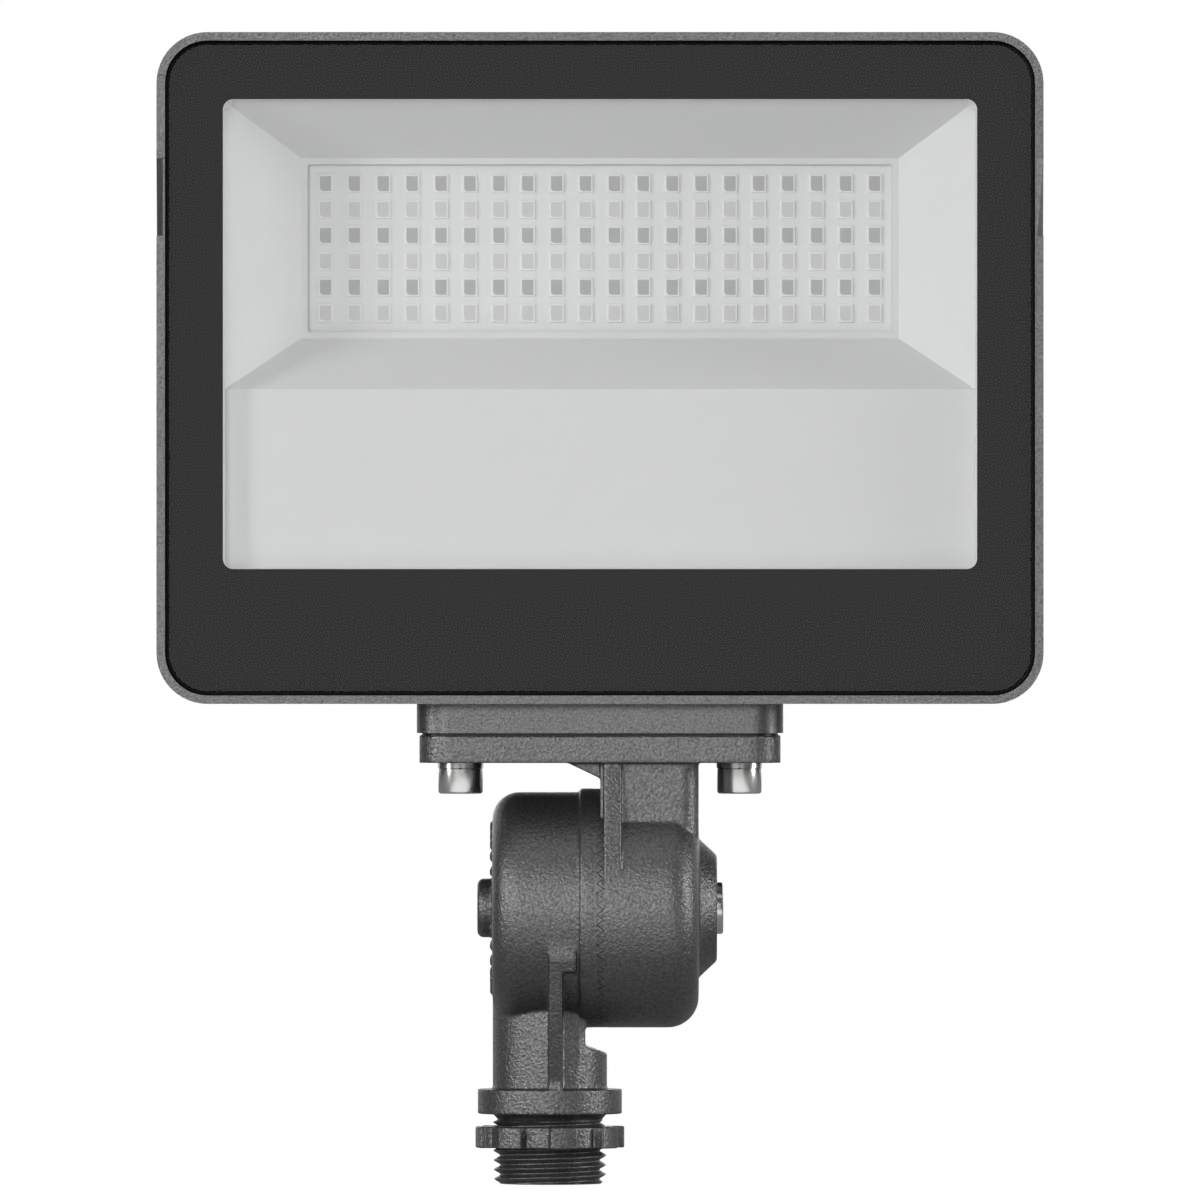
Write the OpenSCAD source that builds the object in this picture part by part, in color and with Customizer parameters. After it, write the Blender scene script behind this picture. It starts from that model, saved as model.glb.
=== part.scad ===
// LED flood light head on a toothed tilting knuckle with a half inch conduit thread.
// Origin at the centre of the threaded end, thread axis along Z, light shining towards -Y.

/* [Head] */
// Width of the housing across the front
head_w = 169; // [160:1:190]
// Height of the housing
head_h = 128; // [122:1:150]
// Outer corner radius of the housing seen from the front
head_r = 9.7; // [7:0.1:13]
// Rim of the housing in front of the thread axis
rim_y = 23; // [22:0.5:28]
// Depth of the side walls from the rim to the shoulder
side_d = 26; // [25:0.5:30]
// Back of the driver bay behind the thread axis
bay_y = 19; // [18:0.5:24]
// Wall of the casting
wall = 3.6; // [3:0.1:4.2]
// Floor of the casting behind the light emitters
floor_t = 4; // [3:0.1:6]
// Thickness of the thin lip round the glass
lip_t = 1.6; // [1.2:0.1:2]
// Height of the driver bay
bay_h = 58; // [54:1:62]

/* [Cooling fins] */
// Number of fins on the back
fin_count = 22; // [12:1:26]
// Thickness of one fin
fin_t = 2; // [1.4:0.1:2.6]
// Depth of the fins behind the shoulder
fin_d = 13.5; // [8:0.5:15]

/* [Glass] */
// Thickness of the glass
glass_t = 4; // [3:0.5:5]
// How far the glass lies below the rim
glass_sink = 0.4; // [0.2:0.1:1]
// Width of the black seal round the edge of the glass
seal_w = 0.7; // [0.5:0.1:1]
// Thickness of the seal under the glass
seal_t = 0.65; // [0.5:0.05:1]
// Width of the clear window in the printed border
window_w = 143.8; // [130:0.2:148]
// Height of the clear window
window_h = 89.6; // [84:0.2:94]
// Border above the clear window, from the top of the housing
window_drop = 12.7; // [11:0.1:15]
// Corner radius of the clear window
window_r = 2; // [1:0.5:4]
// Thickness of the printed border
print_t = 0.15; // [0.1:0.05:0.3]

/* [Reflector] */
// Depth of the shallow tray behind the window
tray_d = 2.5; // [1.5:0.1:4]
// Sheet thickness of the reflector
sheet_t = 1.2; // [1:0.1:1.6]
// Width of the sloping funnel at its wide end
funnel_w = 141.5; // [128:0.5:142]
// Height of the sloping funnel at its wide end
funnel_h = 54.1; // [48:0.1:60]
// Width of the funnel at the emitters
throat_w = 114.3; // [110:0.1:118]
// Height of the funnel at the emitters
throat_h = 34.5; // [32:0.1:38]
// Edge between the throat and the emitter board
throat_lip = 1.2; // [0.6:0.1:1.6]

/* [Light emitters] */
// Columns of emitters
led_cols = 20; // [10:1:20]
// Rows of emitters, in two alternating colours of light
led_rows = 6; // [4:1:6]
// Free width of the throat beside the outermost columns
led_margin_x = 3.2; // [2.4:0.1:4]
// Free height of the throat above and below the rows
led_margin_z = 3.1; // [2.4:0.1:3.6]
// Width of one emitter
led_w = 2.8; // [2.4:0.1:3]
// Height of one emitter
led_l = 3.5; // [3:0.1:3.8]
// Thickness of one emitter
led_t = 0.7; // [0.5:0.1:1]
// Width of the white frame round the phosphor
led_frame = 0.3; // [0.2:0.05:0.4]
// Emitter board thickness
board_t = 1.5; // [1:0.1:2]
// Thermal pad thickness
pad_film_t = 0.3; // [0.2:0.1:0.5]

/* [Driver] */
// Width of the driver board
pcb_w = 118; // [112:1:122]
// Height of the driver board
pcb_h = 40; // [38:1:42]
// Thickness of the driver board
pcb_t = 1.6; // [1.2:0.1:2]
// Height of the standoffs under the driver board
standoff_h = 3.6; // [3.2:0.1:4.2]
// Width of the transformer's core
core_w = 24; // [20:1:26]
// Height of the transformer's core
core_h = 18; // [14:1:20]
// Depth of the transformer in front of its board
core_d = 19; // [15:0.5:20]
// Radius of the electrolytic capacitors
can_r = 6.3; // [5:0.1:6.5]
// Depth of the electrolytic capacitors in front of their board
can_d = 20; // [15:0.5:21]
// Thickness of the film capacitor
film_t = 9; // [6:0.5:10]
// Height of the film capacitor
film_h = 18; // [12:0.5:20]
// Depth of the film capacitor in front of its board
film_d = 12; // [8:0.5:16]
// Radius of the choke's wound ring
choke_r = 7.6; // [6:0.1:8]
// Radius of the choke's winding
choke_wire_r = 2.6; // [2:0.1:3]
// Depth of the terminal blocks in front of their board
terminal_d = 10; // [8:0.5:12]
// Width of one way of the input terminal
terminal_way = 5; // [4.5:0.1:5.4]
// Radius of the insulated leads
lead_r = 0.7; // [0.5:0.05:0.9]
// Distance between the leads
lead_pitch = 3; // [2.4:0.1:3.2]

/* [Thread and locknut] */
// Length of the thread up to the collar
thread_l = 13.4; // [12.5:0.1:16]
// Crest radius of the free end of the thread
thread_r = 10.67; // [10.6:0.01:10.75]
// Thread pitch, 14 turns to the inch
pitch = 1.814; // [1.8:0.001:1.83]
// Depth of the thread
thread_d = 1.14; // [0.9:0.01:1.3]
// Radius of the wire bore in the thread
wire_r = 7; // [6:0.1:7.4]
// Collar radius above the thread
collar_r = 13.8; // [13:0.1:16]
// Collar thickness
collar_t = 4.75; // [4:0.05:6]
// Lower face of the locknut above the thread's end
nut_z = 6.9; // [6.8:0.1:7.4]
// Thickness of the locknut
nut_t = 4.1; // [3.5:0.1:4.4]
// Radius over the lobes of the locknut
nut_r = 14.27; // [13.6:0.01:16]
// Number of lobes
nut_lobes = 8; // [6:1:10]

/* [Knuckle] */
// Height of the tilt axis above the thread's end
pivot_z = 52.8; // [51:0.1:60]
// Radius of the two barrels at the teeth
barrel_r = 22.9; // [22:0.1:23.6]
// Step from the raised collar down to the rest of the lower barrel
barrel_step = 0.7; // [0.3:0.1:1.2]
// Length of the lower barrel from its end face to the teeth
barrel_low_l = 20.6; // [19.6:0.1:23]
// Length of the upper barrel from the teeth to its end face
barrel_up_l = 18.9; // [18:0.1:22]
// Width of the raised collar of the lower barrel
barrel_collar_l = 4.1; // [3:0.1:6]
// Number of teeth, one for each five degrees of tilt
teeth = 72; // [72]
// Height of the teeth at the rim
tooth_h = 1.3; // [1:0.1:1.6]
// Play between the meshed teeth along the tilt axis
tooth_gap = 0.12; // [0.1:0.01:0.2]
// Wall of the knuckle castings
knuckle_wall = 3; // [2.5:0.1:3.6]
// Radius of the stem between the collar and the barrel
stem_r = 10.95; // [10.91:0.01:10.97]
// Split line of the knuckle to the right of the thread axis
split_x = 9.6; // [9.2:0.1:10.4]
// Thickness of the upper front rib
rib_t = 3.4; // [2.4:0.1:4]
// Thickness of the lower front rib
low_rib_t = 2.6; // [2:0.1:3.4]
// Thickness of the lower front rib where it leaves the barrel
low_rib_root_t = 5.2; // [4:0.1:5.4]

/* [Flange] */
// Width of the head's pad
flange_w = 70; // [66:0.5:80]
// Depth of the head's pad, front to back
flange_d = 37; // [35:0.5:40]
// Height of the head's pad below the housing
pad_h = 5.6; // [5:0.1:7]
// Thickness of the knuckle's plate
plate_t = 5.2; // [4.5:0.1:7]
// Free height between the barrels and the plate
plate_gap = 5; // [4.6:0.1:8]
// Thickness of the flange gasket
gasket_t = 0.5; // [0.4:0.1:1]
// Corner radius of pad and plate
flange_r = 6; // [4:0.5:8]

/* [Fasteners] */
// Distance between the two flange screws
flange_pitch = 53.4; // [52:0.1:56]
// Thread radius of the flange screws
m5_r = 2.5; // [2.4:0.05:2.6]
// Head radius of the flange screws
m5_head_r = 4.25; // [4:0.05:4.5]
// Head height of the flange screws
m5_head_h = 4.9; // [4.5:0.1:5.2]
// Thickness of the spring washers
washer_t = 1.1; // [0.9:0.1:1.3]
// Length of the flange screws
m5_l = 14; // [13:0.5:15]
// Thread radius of the tilt bolt
m6_r = 3; // [2.9:0.05:3.1]
// Head radius of the tilt bolt
m6_head_r = 5; // [4.8:0.05:5.2]
// Head height of the tilt bolt
m6_head_h = 6; // [5.5:0.1:6.4]
// How far the tilt bolt's head stands out of its boss
m6_proud = 1.2; // [0.6:0.1:2]
// Thread radius of the small screws inside
m3_r = 1.5; // [1.4:0.05:1.6]
// Head radius of the small screws
m3_head_r = 2.7; // [2.4:0.1:2.9]
// Head height of the small screws
m3_head_h = 2; // [1.6:0.1:2.2]
// Length of the reflector's screws
reflector_screw_l = 8; // [6:0.5:8.5]
// Length of the emitter board's screws
board_screw_l = 4.2; // [3.6:0.1:4.6]
// Length of the driver board's screws
driver_screw_l = 6; // [4:0.5:6.5]

/* [Colour selector] */
// Selector inwards from the left end of the driver board
selector_in = 19; // [16:1:22]
// Travel of the selector slide to each side
selector_travel = 2.5; // [2:0.1:3]
// Radius of the selector window in the back
selector_r = 8; // [7.6:0.1:9]
// Width and height of the selector's slide
slide_w = 3; // [2.4:0.1:3.4]
// Height of the selector switch between its board and the back
switch_h = 7; // [6:0.5:8]

/* [Fits] */
// Running clearance of the tilt bolt and of the locknut
run = 0.05; // [0.02:0.01:0.1]
// Clearance between assembled pieces
fit = 0.3; // [0.2:0.05:0.5]

/* [Hidden] */
$fn = 64;

// Heights, from the thread's end upwards
collar_z = thread_l + collar_t;
plate_z = pivot_z + barrel_r + plate_gap;
gasket_z = plate_z + plate_t;
pad_z = gasket_z + gasket_t;
head_z = pad_z + pad_h;
head_cz = head_z + head_h / 2;
window_cz = head_z + head_h - window_drop - window_h / 2;
bay_top = head_z + bay_h;
// Draw-in of the tray's sides from its mouth to its floor
tray_draw = 1.15;
funnel_cz = window_cz + (window_h - funnel_h) / 2 - tray_draw;

// Depths, from the rim backwards
glass_y = -rim_y + glass_sink;
print_y = glass_y + glass_t;
seal_y = print_y + print_t;
ledge_y = seal_y + seal_t;
flange_front = seal_y + fit;
sheet_back = flange_front + sheet_t;
cup_y = flange_front + 2.3;
tray_y = flange_front + tray_d;
shoulder_y = -rim_y + side_d;
led_floor_y = shoulder_y - floor_t;
board_y = led_floor_y - pad_film_t - board_t;
throat_y = board_y - fit - 1;
bay_wall = 2.8;
bay_floor_y = bay_y - bay_wall;
pcb_back = bay_floor_y - standoff_h;
pcb_front = pcb_back - pcb_t;

// Outlines seen from the front
glass_w = head_w - 2 * (lip_t + seal_w);
glass_h = head_h - 2 * (lip_t + seal_w);
cavity_w = head_w - 2 * wall;
cavity_h = head_h - 2 * wall;
inner_r = max(head_r - wall, 1);
sheet_edge = 0.5;
post_r = 3.2;
cup_r = m3_head_r + 0.5;
cup_wall = 0.6;
cup_inset = cup_r + cup_wall + 0.9;
edge_x = cavity_w / 2 - cup_inset;
edge_top = head_z + head_h - wall - cup_inset;
edge_bottom = head_z + wall + cup_inset;
// Draw-in of the shoulder, of the driver bay's foot and of its back
shoulder_in = 2.5;
bay_in = 4;
bay_draft = 3;
bay_hollow_w = cavity_w - 12;
bay_hollow_h = bay_h - 2 * wall - 3;
bay_hollow_r = 3;
bay_hollow_cz = head_z + bay_h / 2 - 1.5;
bay_lip = 0.05;
// Notch in the rim: its upper and lower end above the head's middle, its depth and width
notch_top = 49;
notch_foot = 25.2;
notch_d = 1.6;
notch_w = 1.2;

// Emitter board
led_pitch_x = (throat_w - 2 * led_margin_x - led_w) / (led_cols - 1);
led_pitch_z = (throat_h - 2 * led_margin_z - led_l) / (led_rows - 1);
board_w = throat_w + 20;
board_h = throat_h + 7.5;
board_screw_x = throat_w / 2 + 7;
board_screw_z = board_h / 2 - 4;
hole_play = 0.2;
hole_end = 0.6;

// Driver, its pieces placed from the middle of the head and of the board
pcb_cz = head_z + wall + 4 + pcb_h / 2;
pcb_screw_x = pcb_w / 2 - 4;
pcb_screw_z = pcb_h / 2 - 4;
tray_lip = 5;
core_dx = -0.05 * pcb_w;
can_dx = 0.17 * pcb_w;
film_dx = 0.288 * pcb_w;
choke_dx = 0.39 * pcb_w;
choke_z = pcb_cz + 0.1 * pcb_h;
rectifier_dx = 0.085 * pcb_w;
fuse_dx = 0.4 * pcb_w;
fuse_z = pcb_cz - 0.3 * pcb_h;
fuse_r = 3.4;
input_dx = -0.038 * pcb_w;
input_z = pcb_cz - pcb_h / 2 + 4.5;
output_dx = -0.27 * pcb_w;
output_z = pcb_cz + 0.375 * pcb_h;
output_h = 6;
lead_bend = 4;
lead_y = board_y - lead_r;
lead_top = funnel_cz - throat_h / 2 - sheet_t - 1.2;

// Knuckle
barrel_small_r = barrel_r - barrel_step;
low_end_x = split_x - barrel_low_l;
up_end_x = split_x + barrel_up_l;
pitch_r = barrel_r - 0.05;
tooth_in_r = barrel_r - 3.6;
face_back = tooth_h / 2 + 0.3;
hollow_r = tooth_in_r - 3.4;
ring_t = 2;
ring_r = hollow_r + 1.7;
seal_face_x = split_x - 0.55;
hub_wall = 3.4;
hub_r = m6_r + hub_wall;
arm_d = 15.7;
arm_cx = split_x + barrel_up_l / 2;
arm_wire_r = 6.2;
gusset_w = 6.3;
boss_r = 13.4;
boss_face_r = 10.3;
boss_l = 3.5;
counter_r = m6_head_r + 0.2;
bolt_seat_x = up_end_x + boss_l + m6_proud - m6_head_h;
washer6_t = 1.5;
cap_r = 5.64;
cap_l = 2.9;
stem_cut_x = split_x - 2.8;
stem_bore_x = (stem_cut_x - stem_r) / 2;
stem_bore_r = (stem_cut_x + stem_r) / 2 - knuckle_wall;
lug_z = pivot_z - barrel_r - 3.5;
cap_round = 1.2;
mark_w = 0.7;
low_round = 5.2;
up_round = 5.9;
// Lower front rib: its foot on the collar, its upper end and the height where it narrows
low_rib_x = -0.2;
foot_y = -collar_r + 0.3;
foot_z = collar_z + 1.8;
brow_y = -barrel_small_r + 0.8;
brow_z = pivot_z - 10;
narrow_z = pivot_z - 12;
narrow_y = foot_y + (brow_y - foot_y) * (narrow_z - foot_z) / (brow_z - foot_z);

// Fasteners
screw_zb = plate_z - washer_t;
screw_top = screw_zb + m5_l;
m5_hex_r = 2.31;
m5_hex_d = 2.5;
m6_hex_r = 2.89;
m6_hex_d = 3;
pin_play = 0.1;

// Flange, wire way, earth screw and selector
flange_in = 1;
grommet_r = 7.5;
grommet_bore_r = 4;
grommet_lip = 1.5;
ground_dx = bay_hollow_w / 2 - 6.9;
ground_z = head_z + wall + 6;
selector_dx = selector_in - pcb_w / 2;
selector_z = pcb_cz;
switch_w = 15;
slot_d = 1.6;
slot_w = slide_w + 2 * selector_travel + 2 * fit;

// A rounded rectangle from exact squares and circles
module rounded(w, h, r) {
    square([w - 2 * r, h], center = true);
    square([w, h - 2 * r], center = true);
    for (sx = [-1, 1], sy = [-1, 1])
        translate([sx * (w / 2 - r), sy * (h / 2 - r)]) circle(r);
}

// A front outline extruded along Y, from y0 back to y1, about the head's centre line
module slab(w, h, r, y0, y1, cz) {
    translate([split_x, y1, cz]) rotate([90, 0, 0]) linear_extrude(y1 - y0) rounded(w, h, r);
}

// A box on the head's centre line, given by its X centre, its Y span and its Z centre
module brick(cx, w, y0, y1, cz, h) {
    translate([split_x + cx - w / 2, y0, cz - h / 2]) cube([w, y1 - y0, h]);
}

// A rod along Y, given from the head's centre line
module rod_y(dx, z, r, y0, y1) {
    translate([split_x + dx, y1, z]) rotate([90, 0, 0]) cylinder(r = r, h = y1 - y0);
}

// A plan outline extruded along Z
module plan(w, d, r, z0, z1) {
    translate([split_x, 0, z0]) linear_extrude(z1 - z0) rounded(w, d, r);
}

// A solid of revolution about the tilt axis, drawn as radius and X
module turned() {
    translate([0, 0, pivot_z]) rotate([0, 90, 0]) rotate_extrude() children();
}

// Half of a barrel's section, rounded where its end face meets the outside
module barrel_section(r, x_end, x_open, round_r) {
    d = x_open > x_end ? 1 : -1;
    lo = min(x_end, x_open);
    hi = max(x_end, x_open);
    translate([0, lo]) square([r - round_r, hi - lo]);
    translate([0, min(x_end + d * round_r, x_open)]) square([r, abs(x_open - x_end) - round_r]);
    translate([r - round_r, x_end + d * round_r]) circle(round_r);
}

// Screw at four places of a rectangle
module corners(dx, dz) {
    for (sx = [-1, 1], sz = [-1, 1]) translate([sx * dx, 0, sz * dz]) children();
}

// Pan head screw along Y, with its head at the front of y
module pan_screw(cz, y, length) {
    rod_y(0, cz, m3_r, y, y + length);
    difference() {
        rod_y(0, cz, m3_head_r, y - m3_head_h, y);
        brick(0, 1.2 * m3_head_r, y - m3_head_h - 1, y - m3_head_h / 2, cz, 0.3 * m3_head_r);
        brick(0, 0.3 * m3_head_r, y - m3_head_h - 1, y - m3_head_h / 2, cz, 1.2 * m3_head_r);
    }
}

// The box behind the rim as one block, its back edges sloped
module head_block() {
    slab(head_w, head_h, head_r, -rim_y, shoulder_y - 3, head_cz);
    hull() {
        slab(head_w, head_h, head_r, shoulder_y - 4, shoulder_y - 3, head_cz, $fn = 32);
        slab(head_w - 2 * shoulder_in, head_h - 2 * shoulder_in, head_r - shoulder_in,
            shoulder_y - 1, shoulder_y, head_cz, $fn = 32);
    }
}

// The driver bay behind it as one block, drafted towards the back
module bay_block() hull() {
    slab(head_w - 2 * bay_in, bay_h - 1, head_r - 2, shoulder_y, shoulder_y + bay_lip,
        head_z + bay_h / 2, $fn = 32);
    slab(head_w - 2 * (bay_in + bay_draft), bay_h - 5, head_r - bay_in, bay_y - 1, bay_y,
        head_z + bay_h / 2 - 1, $fn = 32);
}

// The hole for the wires' grommet, through the pad and the wall above it
module grommet_way()
    translate([arm_cx, 0, pad_z - 1]) cylinder(r = grommet_r + run, h = head_z + wall - pad_z + 2);

// The holes for the two flange screws
module pad_screw_holes() for (sx = [-1, 1])
    translate([split_x + sx * flange_pitch / 2, 0, pad_z - 1])
        cylinder(r = m5_r + run, h = screw_top - pad_z + 1 + hole_end);

// Shallow ramp in each side of the rim, ending in a step
module side_notch(side) {
    x = side > 0 ? split_x + head_w / 2 - notch_w : split_x - head_w / 2 - 1;
    translate([x, 0, head_cz]) rotate([90, 0, 90]) linear_extrude(notch_w + 1) polygon([
        [-rim_y - 1, notch_top], [-rim_y, notch_top], [-rim_y + notch_d, notch_foot], [-rim_y - 1, notch_foot]
    ]);
}

module housing() color([0.27, 0.27, 0.28]) difference() {
    union() {
        difference() {
            head_block();
            slab(head_w - 2 * lip_t, head_h - 2 * lip_t, head_r - lip_t, -rim_y - 1, ledge_y, head_cz);
            slab(cavity_w, cavity_h, inner_r, ledge_y - 1, led_floor_y, head_cz);
            slab(bay_hollow_w, bay_hollow_h, bay_hollow_r, led_floor_y - 1, shoulder_y + 1, bay_hollow_cz);
        }
        // Posts for the reflector
        for (sx = [-1, 1], z = [edge_top, edge_bottom])
            rod_y(sx * edge_x, z, post_r, cup_y + sheet_t, led_floor_y + 1);
    }
    side_notch(-1);
    side_notch(1);
    for (sx = [-1, 1], z = [edge_top, edge_bottom])
        rod_y(sx * edge_x, z, m3_r + run, cup_y, cup_y + reflector_screw_l + hole_end);
    for (sx = [-1, 1], sz = [-1, 1])
        rod_y(sx * board_screw_x, funnel_cz + sz * board_screw_z, m3_r + run,
            led_floor_y - 1, board_y + board_screw_l + hole_end);
    pad_screw_holes();
    grommet_way();
}

module driver_bay() color([0.27, 0.27, 0.28]) difference() {
    union() {
        difference() {
            bay_block();
            slab(bay_hollow_w, bay_hollow_h, bay_hollow_r, shoulder_y - 1, bay_floor_y, bay_hollow_cz);
        }
        // Standoffs for the driver
        for (sx = [-1, 1], sz = [-1, 1])
            rod_y(sx * pcb_screw_x, pcb_cz + sz * pcb_screw_z, post_r, pcb_back, bay_floor_y + 1);
    }
    for (sx = [-1, 1], sz = [-1, 1])
        rod_y(sx * pcb_screw_x, pcb_cz + sz * pcb_screw_z, m3_r + run,
            pcb_back - 1, pcb_front + driver_screw_l + hole_end);
    rod_y(ground_dx, ground_z, m3_r + run, bay_floor_y - 1, bay_floor_y + 2);
    rod_y(selector_dx, selector_z, selector_r, bay_floor_y - 1, bay_y + 1);
    grommet_way();
}

module cooling_fins() color([0.27, 0.27, 0.28]) difference() {
    fin_pitch = (head_w - 22) / (fin_count - 1);
    top = head_z + head_h - 7;
    for (i = [0 : fin_count - 1])
        translate([split_x + (i - (fin_count - 1) / 2) * fin_pitch - fin_t / 2, 0, 0])
            rotate([90, 0, 90]) linear_extrude(fin_t) polygon([
                [shoulder_y, bay_top - 6], [shoulder_y + fin_d, bay_top - 6],
                [shoulder_y + fin_d, top - 10], [shoulder_y + 3, top], [shoulder_y, top]
            ]);
    bay_block();
}

module head_pad() color([0.27, 0.27, 0.28]) difference() {
    plan(flange_w, flange_d, flange_r, pad_z, head_z + wall);
    head_block();
    bay_block();
    pad_screw_holes();
    grommet_way();
}

module lens_glass() color([0.8, 0.85, 0.87, 0.5])
    slab(glass_w, glass_h, head_r - lip_t - seal_w, glass_y, print_y, head_cz);

module lens_border() color([0.21, 0.21, 0.21]) difference() {
    slab(glass_w, glass_h, head_r - lip_t - seal_w, print_y, seal_y, head_cz);
    slab(window_w, window_h, window_r, print_y - 1, seal_y + 1, window_cz);
}

module lens_gasket() color([0.04, 0.04, 0.04]) difference() {
    slab(head_w - 2 * lip_t, head_h - 2 * lip_t, head_r - lip_t, -rim_y + glass_sink + 0.2, ledge_y, head_cz);
    slab(glass_w, glass_h, head_r - lip_t - seal_w, -rim_y - 1, seal_y, head_cz);
    slab(cavity_w, cavity_h, inner_r, seal_y - 1, ledge_y + 1, head_cz);
}

module reflector() color([0.86, 0.86, 0.86]) difference() {
    union() {
        slab(cavity_w - 2 * sheet_edge, cavity_h - 2 * sheet_edge, inner_r, flange_front, sheet_back, head_cz);
        slab(window_w + 2 * sheet_t, window_h + 2 * sheet_t, window_r + sheet_t,
            flange_front, tray_y + sheet_t, window_cz);
        funnel(sheet_t, tray_y, throat_y + 1);
        for (sx = [-1, 1], z = [edge_top, edge_bottom])
            rod_y(sx * edge_x, z, cup_r + cup_wall, flange_front, cup_y + sheet_t);
    }
    hull() {
        slab(window_w, window_h, window_r, flange_front - 0.1, flange_front, window_cz, $fn = 32);
        slab(window_w - 2 * tray_draw, window_h - 2 * tray_draw, max(window_r - tray_draw, 0.3),
            tray_y - 0.1, tray_y, window_cz, $fn = 32);
    }
    funnel(0, tray_y - 0.05, throat_y);
    slab(throat_w - 2 * throat_lip, throat_h - 2 * throat_lip, 0.6, throat_y - 1, board_y, funnel_cz);
    for (sx = [-1, 1], z = [edge_top, edge_bottom]) {
        rod_y(sx * edge_x, z, cup_r, flange_front - 1, cup_y);
        rod_y(sx * edge_x, z, m3_r + hole_play, flange_front, cup_y + sheet_t + 1);
    }
}

// The sloping funnel between the tray and the throat, grown by a sheet thickness
module funnel(grow, y0, y1) {
    hull() {
        slab(funnel_w + 2 * grow, funnel_h + 2 * grow, 0.05, y0, y0 + 0.05, funnel_cz, $fn = 16);
        slab(throat_w + 2 * grow, throat_h + 2 * grow, 0.05, y1 - 0.05, y1, funnel_cz, $fn = 16);
    }
}

module reflector_screws() color("silver")
    for (sx = [-1, 1], z = [edge_top, edge_bottom])
        translate([sx * edge_x, 0, 0]) pan_screw(z, cup_y, reflector_screw_l);

module led_board() color([0.84, 0.84, 0.83]) difference() {
    slab(board_w, board_h, 1.5, board_y, board_y + board_t, funnel_cz);
    for (sx = [-1, 1], sz = [-1, 1])
        rod_y(sx * board_screw_x, funnel_cz + sz * board_screw_z, m3_r + hole_play, board_y - 1, board_y + 3);
}

module thermal_pad() color([0.62, 0.66, 0.7]) difference() {
    slab(board_w - 1, board_h - 1, 1.5, board_y + board_t, led_floor_y, funnel_cz);
    for (sx = [-1, 1], sz = [-1, 1])
        rod_y(sx * board_screw_x, funnel_cz + sz * board_screw_z, m3_r + hole_play, board_y - 1, board_y + 3);
}

module board_screws() color("silver")
    for (sx = [-1, 1], sz = [-1, 1])
        translate([sx * board_screw_x, 0, 0]) pan_screw(funnel_cz + sz * board_screw_z, board_y, board_screw_l);

// Each emitter of the rows counted from the top, from first_row in steps of row_step
module each_led(first_row, row_step) {
    for (i = [0 : led_cols - 1], j = [first_row : row_step : led_rows - 1])
        translate([
            split_x + (i - (led_cols - 1) / 2) * led_pitch_x, board_y,
            funnel_cz - (j - (led_rows - 1) / 2) * led_pitch_z
        ]) rotate([90, 0, 0]) children();
}

// The phosphor window with its lower left corner cut, which marks the cathode
module phosphor(h) {
    w = led_w / 2 - led_frame;
    l = led_l / 2 - led_frame;
    linear_extrude(h) polygon([[-w + 0.45, -l], [w, -l], [w, l], [-w, l], [-w, -l + 0.45]]);
}

module led_frames() color([0.9, 0.9, 0.89]) each_led(0, 1) difference() {
    linear_extrude(led_t) square([led_w, led_l], center = true);
    translate([0, 0, led_t / 2]) phosphor(led_t);
}

module phosphor_cool() color([0.62, 0.63, 0.6]) each_led(0, 2)
    translate([0, 0, led_t / 2]) phosphor(led_t / 2 - 0.05);

module phosphor_warm() color([0.72, 0.7, 0.62]) each_led(1, 2)
    translate([0, 0, led_t / 2]) phosphor(led_t / 2 - 0.05);

// Insulating tray between the driver board and the casting
module driver_insulator() color([0.2, 0.2, 0.22]) difference() {
    slab(pcb_w + 4, pcb_h + 4, 2, pcb_front - tray_lip, pcb_back + 1, pcb_cz);
    slab(pcb_w + 2, pcb_h + 2, 1, pcb_front - tray_lip - 1, pcb_back, pcb_cz);
    for (sx = [-1, 1], sz = [-1, 1])
        rod_y(sx * pcb_screw_x, pcb_cz + sz * pcb_screw_z, post_r + hole_play, pcb_back - 1, pcb_back + 2);
    brick(selector_dx, switch_w + 1, pcb_back - 1, pcb_back + 2, selector_z, switch_h + 1);
}

module driver_board() color([0.1, 0.35, 0.2]) difference() {
    brick(0, pcb_w, pcb_front, pcb_back, pcb_cz, pcb_h);
    for (sx = [-1, 1], sz = [-1, 1])
        rod_y(sx * pcb_screw_x, pcb_cz + sz * pcb_screw_z, m3_r + hole_play, pcb_front - 1, pcb_back + 1);
}

module driver_screws() color("silver")
    for (sx = [-1, 1], sz = [-1, 1])
        translate([sx * pcb_screw_x, 0, 0]) pan_screw(pcb_cz + sz * pcb_screw_z, pcb_front, driver_screw_l);

module transformer() color([0.75, 0.65, 0.2]) {
    brick(core_dx, core_w, pcb_front - core_d + 2, pcb_front - 2, pcb_cz, core_h);
    brick(core_dx, core_w * 0.58, pcb_front - core_d, pcb_front, pcb_cz, core_h + 4);
}

module electrolytic_capacitors() color([0.12, 0.13, 0.2])
    for (side = [-1, 1]) rod_y(can_dx, pcb_cz + side * (can_r + 0.7), can_r, pcb_front - can_d, pcb_front);

module film_capacitor() color([0.85, 0.75, 0.25]) 
    brick(film_dx, film_t, pcb_front - film_d, pcb_front, pcb_cz - 3, film_h);

// Common mode choke, a wound ring on its base
module choke() color([0.7, 0.35, 0.15]) {
    brick(choke_dx, 1.5 * choke_wire_r, pcb_front - 3, pcb_front, choke_z, 1.6 * choke_r);
    translate([split_x + choke_dx, pcb_front - choke_r - 1.4, choke_z]) rotate([0, 90, 0]) rotate_extrude()
        translate([choke_r - choke_wire_r, 0]) circle(choke_wire_r);
}

module rectifier() color([0.08, 0.08, 0.08]) 
    brick(rectifier_dx, 0.55 * film_t, pcb_front - film_d + 1, pcb_front, pcb_cz + core_h / 2 + 3, 10);

module fuse() color([0.3, 0.3, 0.32]) rod_y(fuse_dx, fuse_z, fuse_r, pcb_front - 0.8 * terminal_d, pcb_front);

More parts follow.
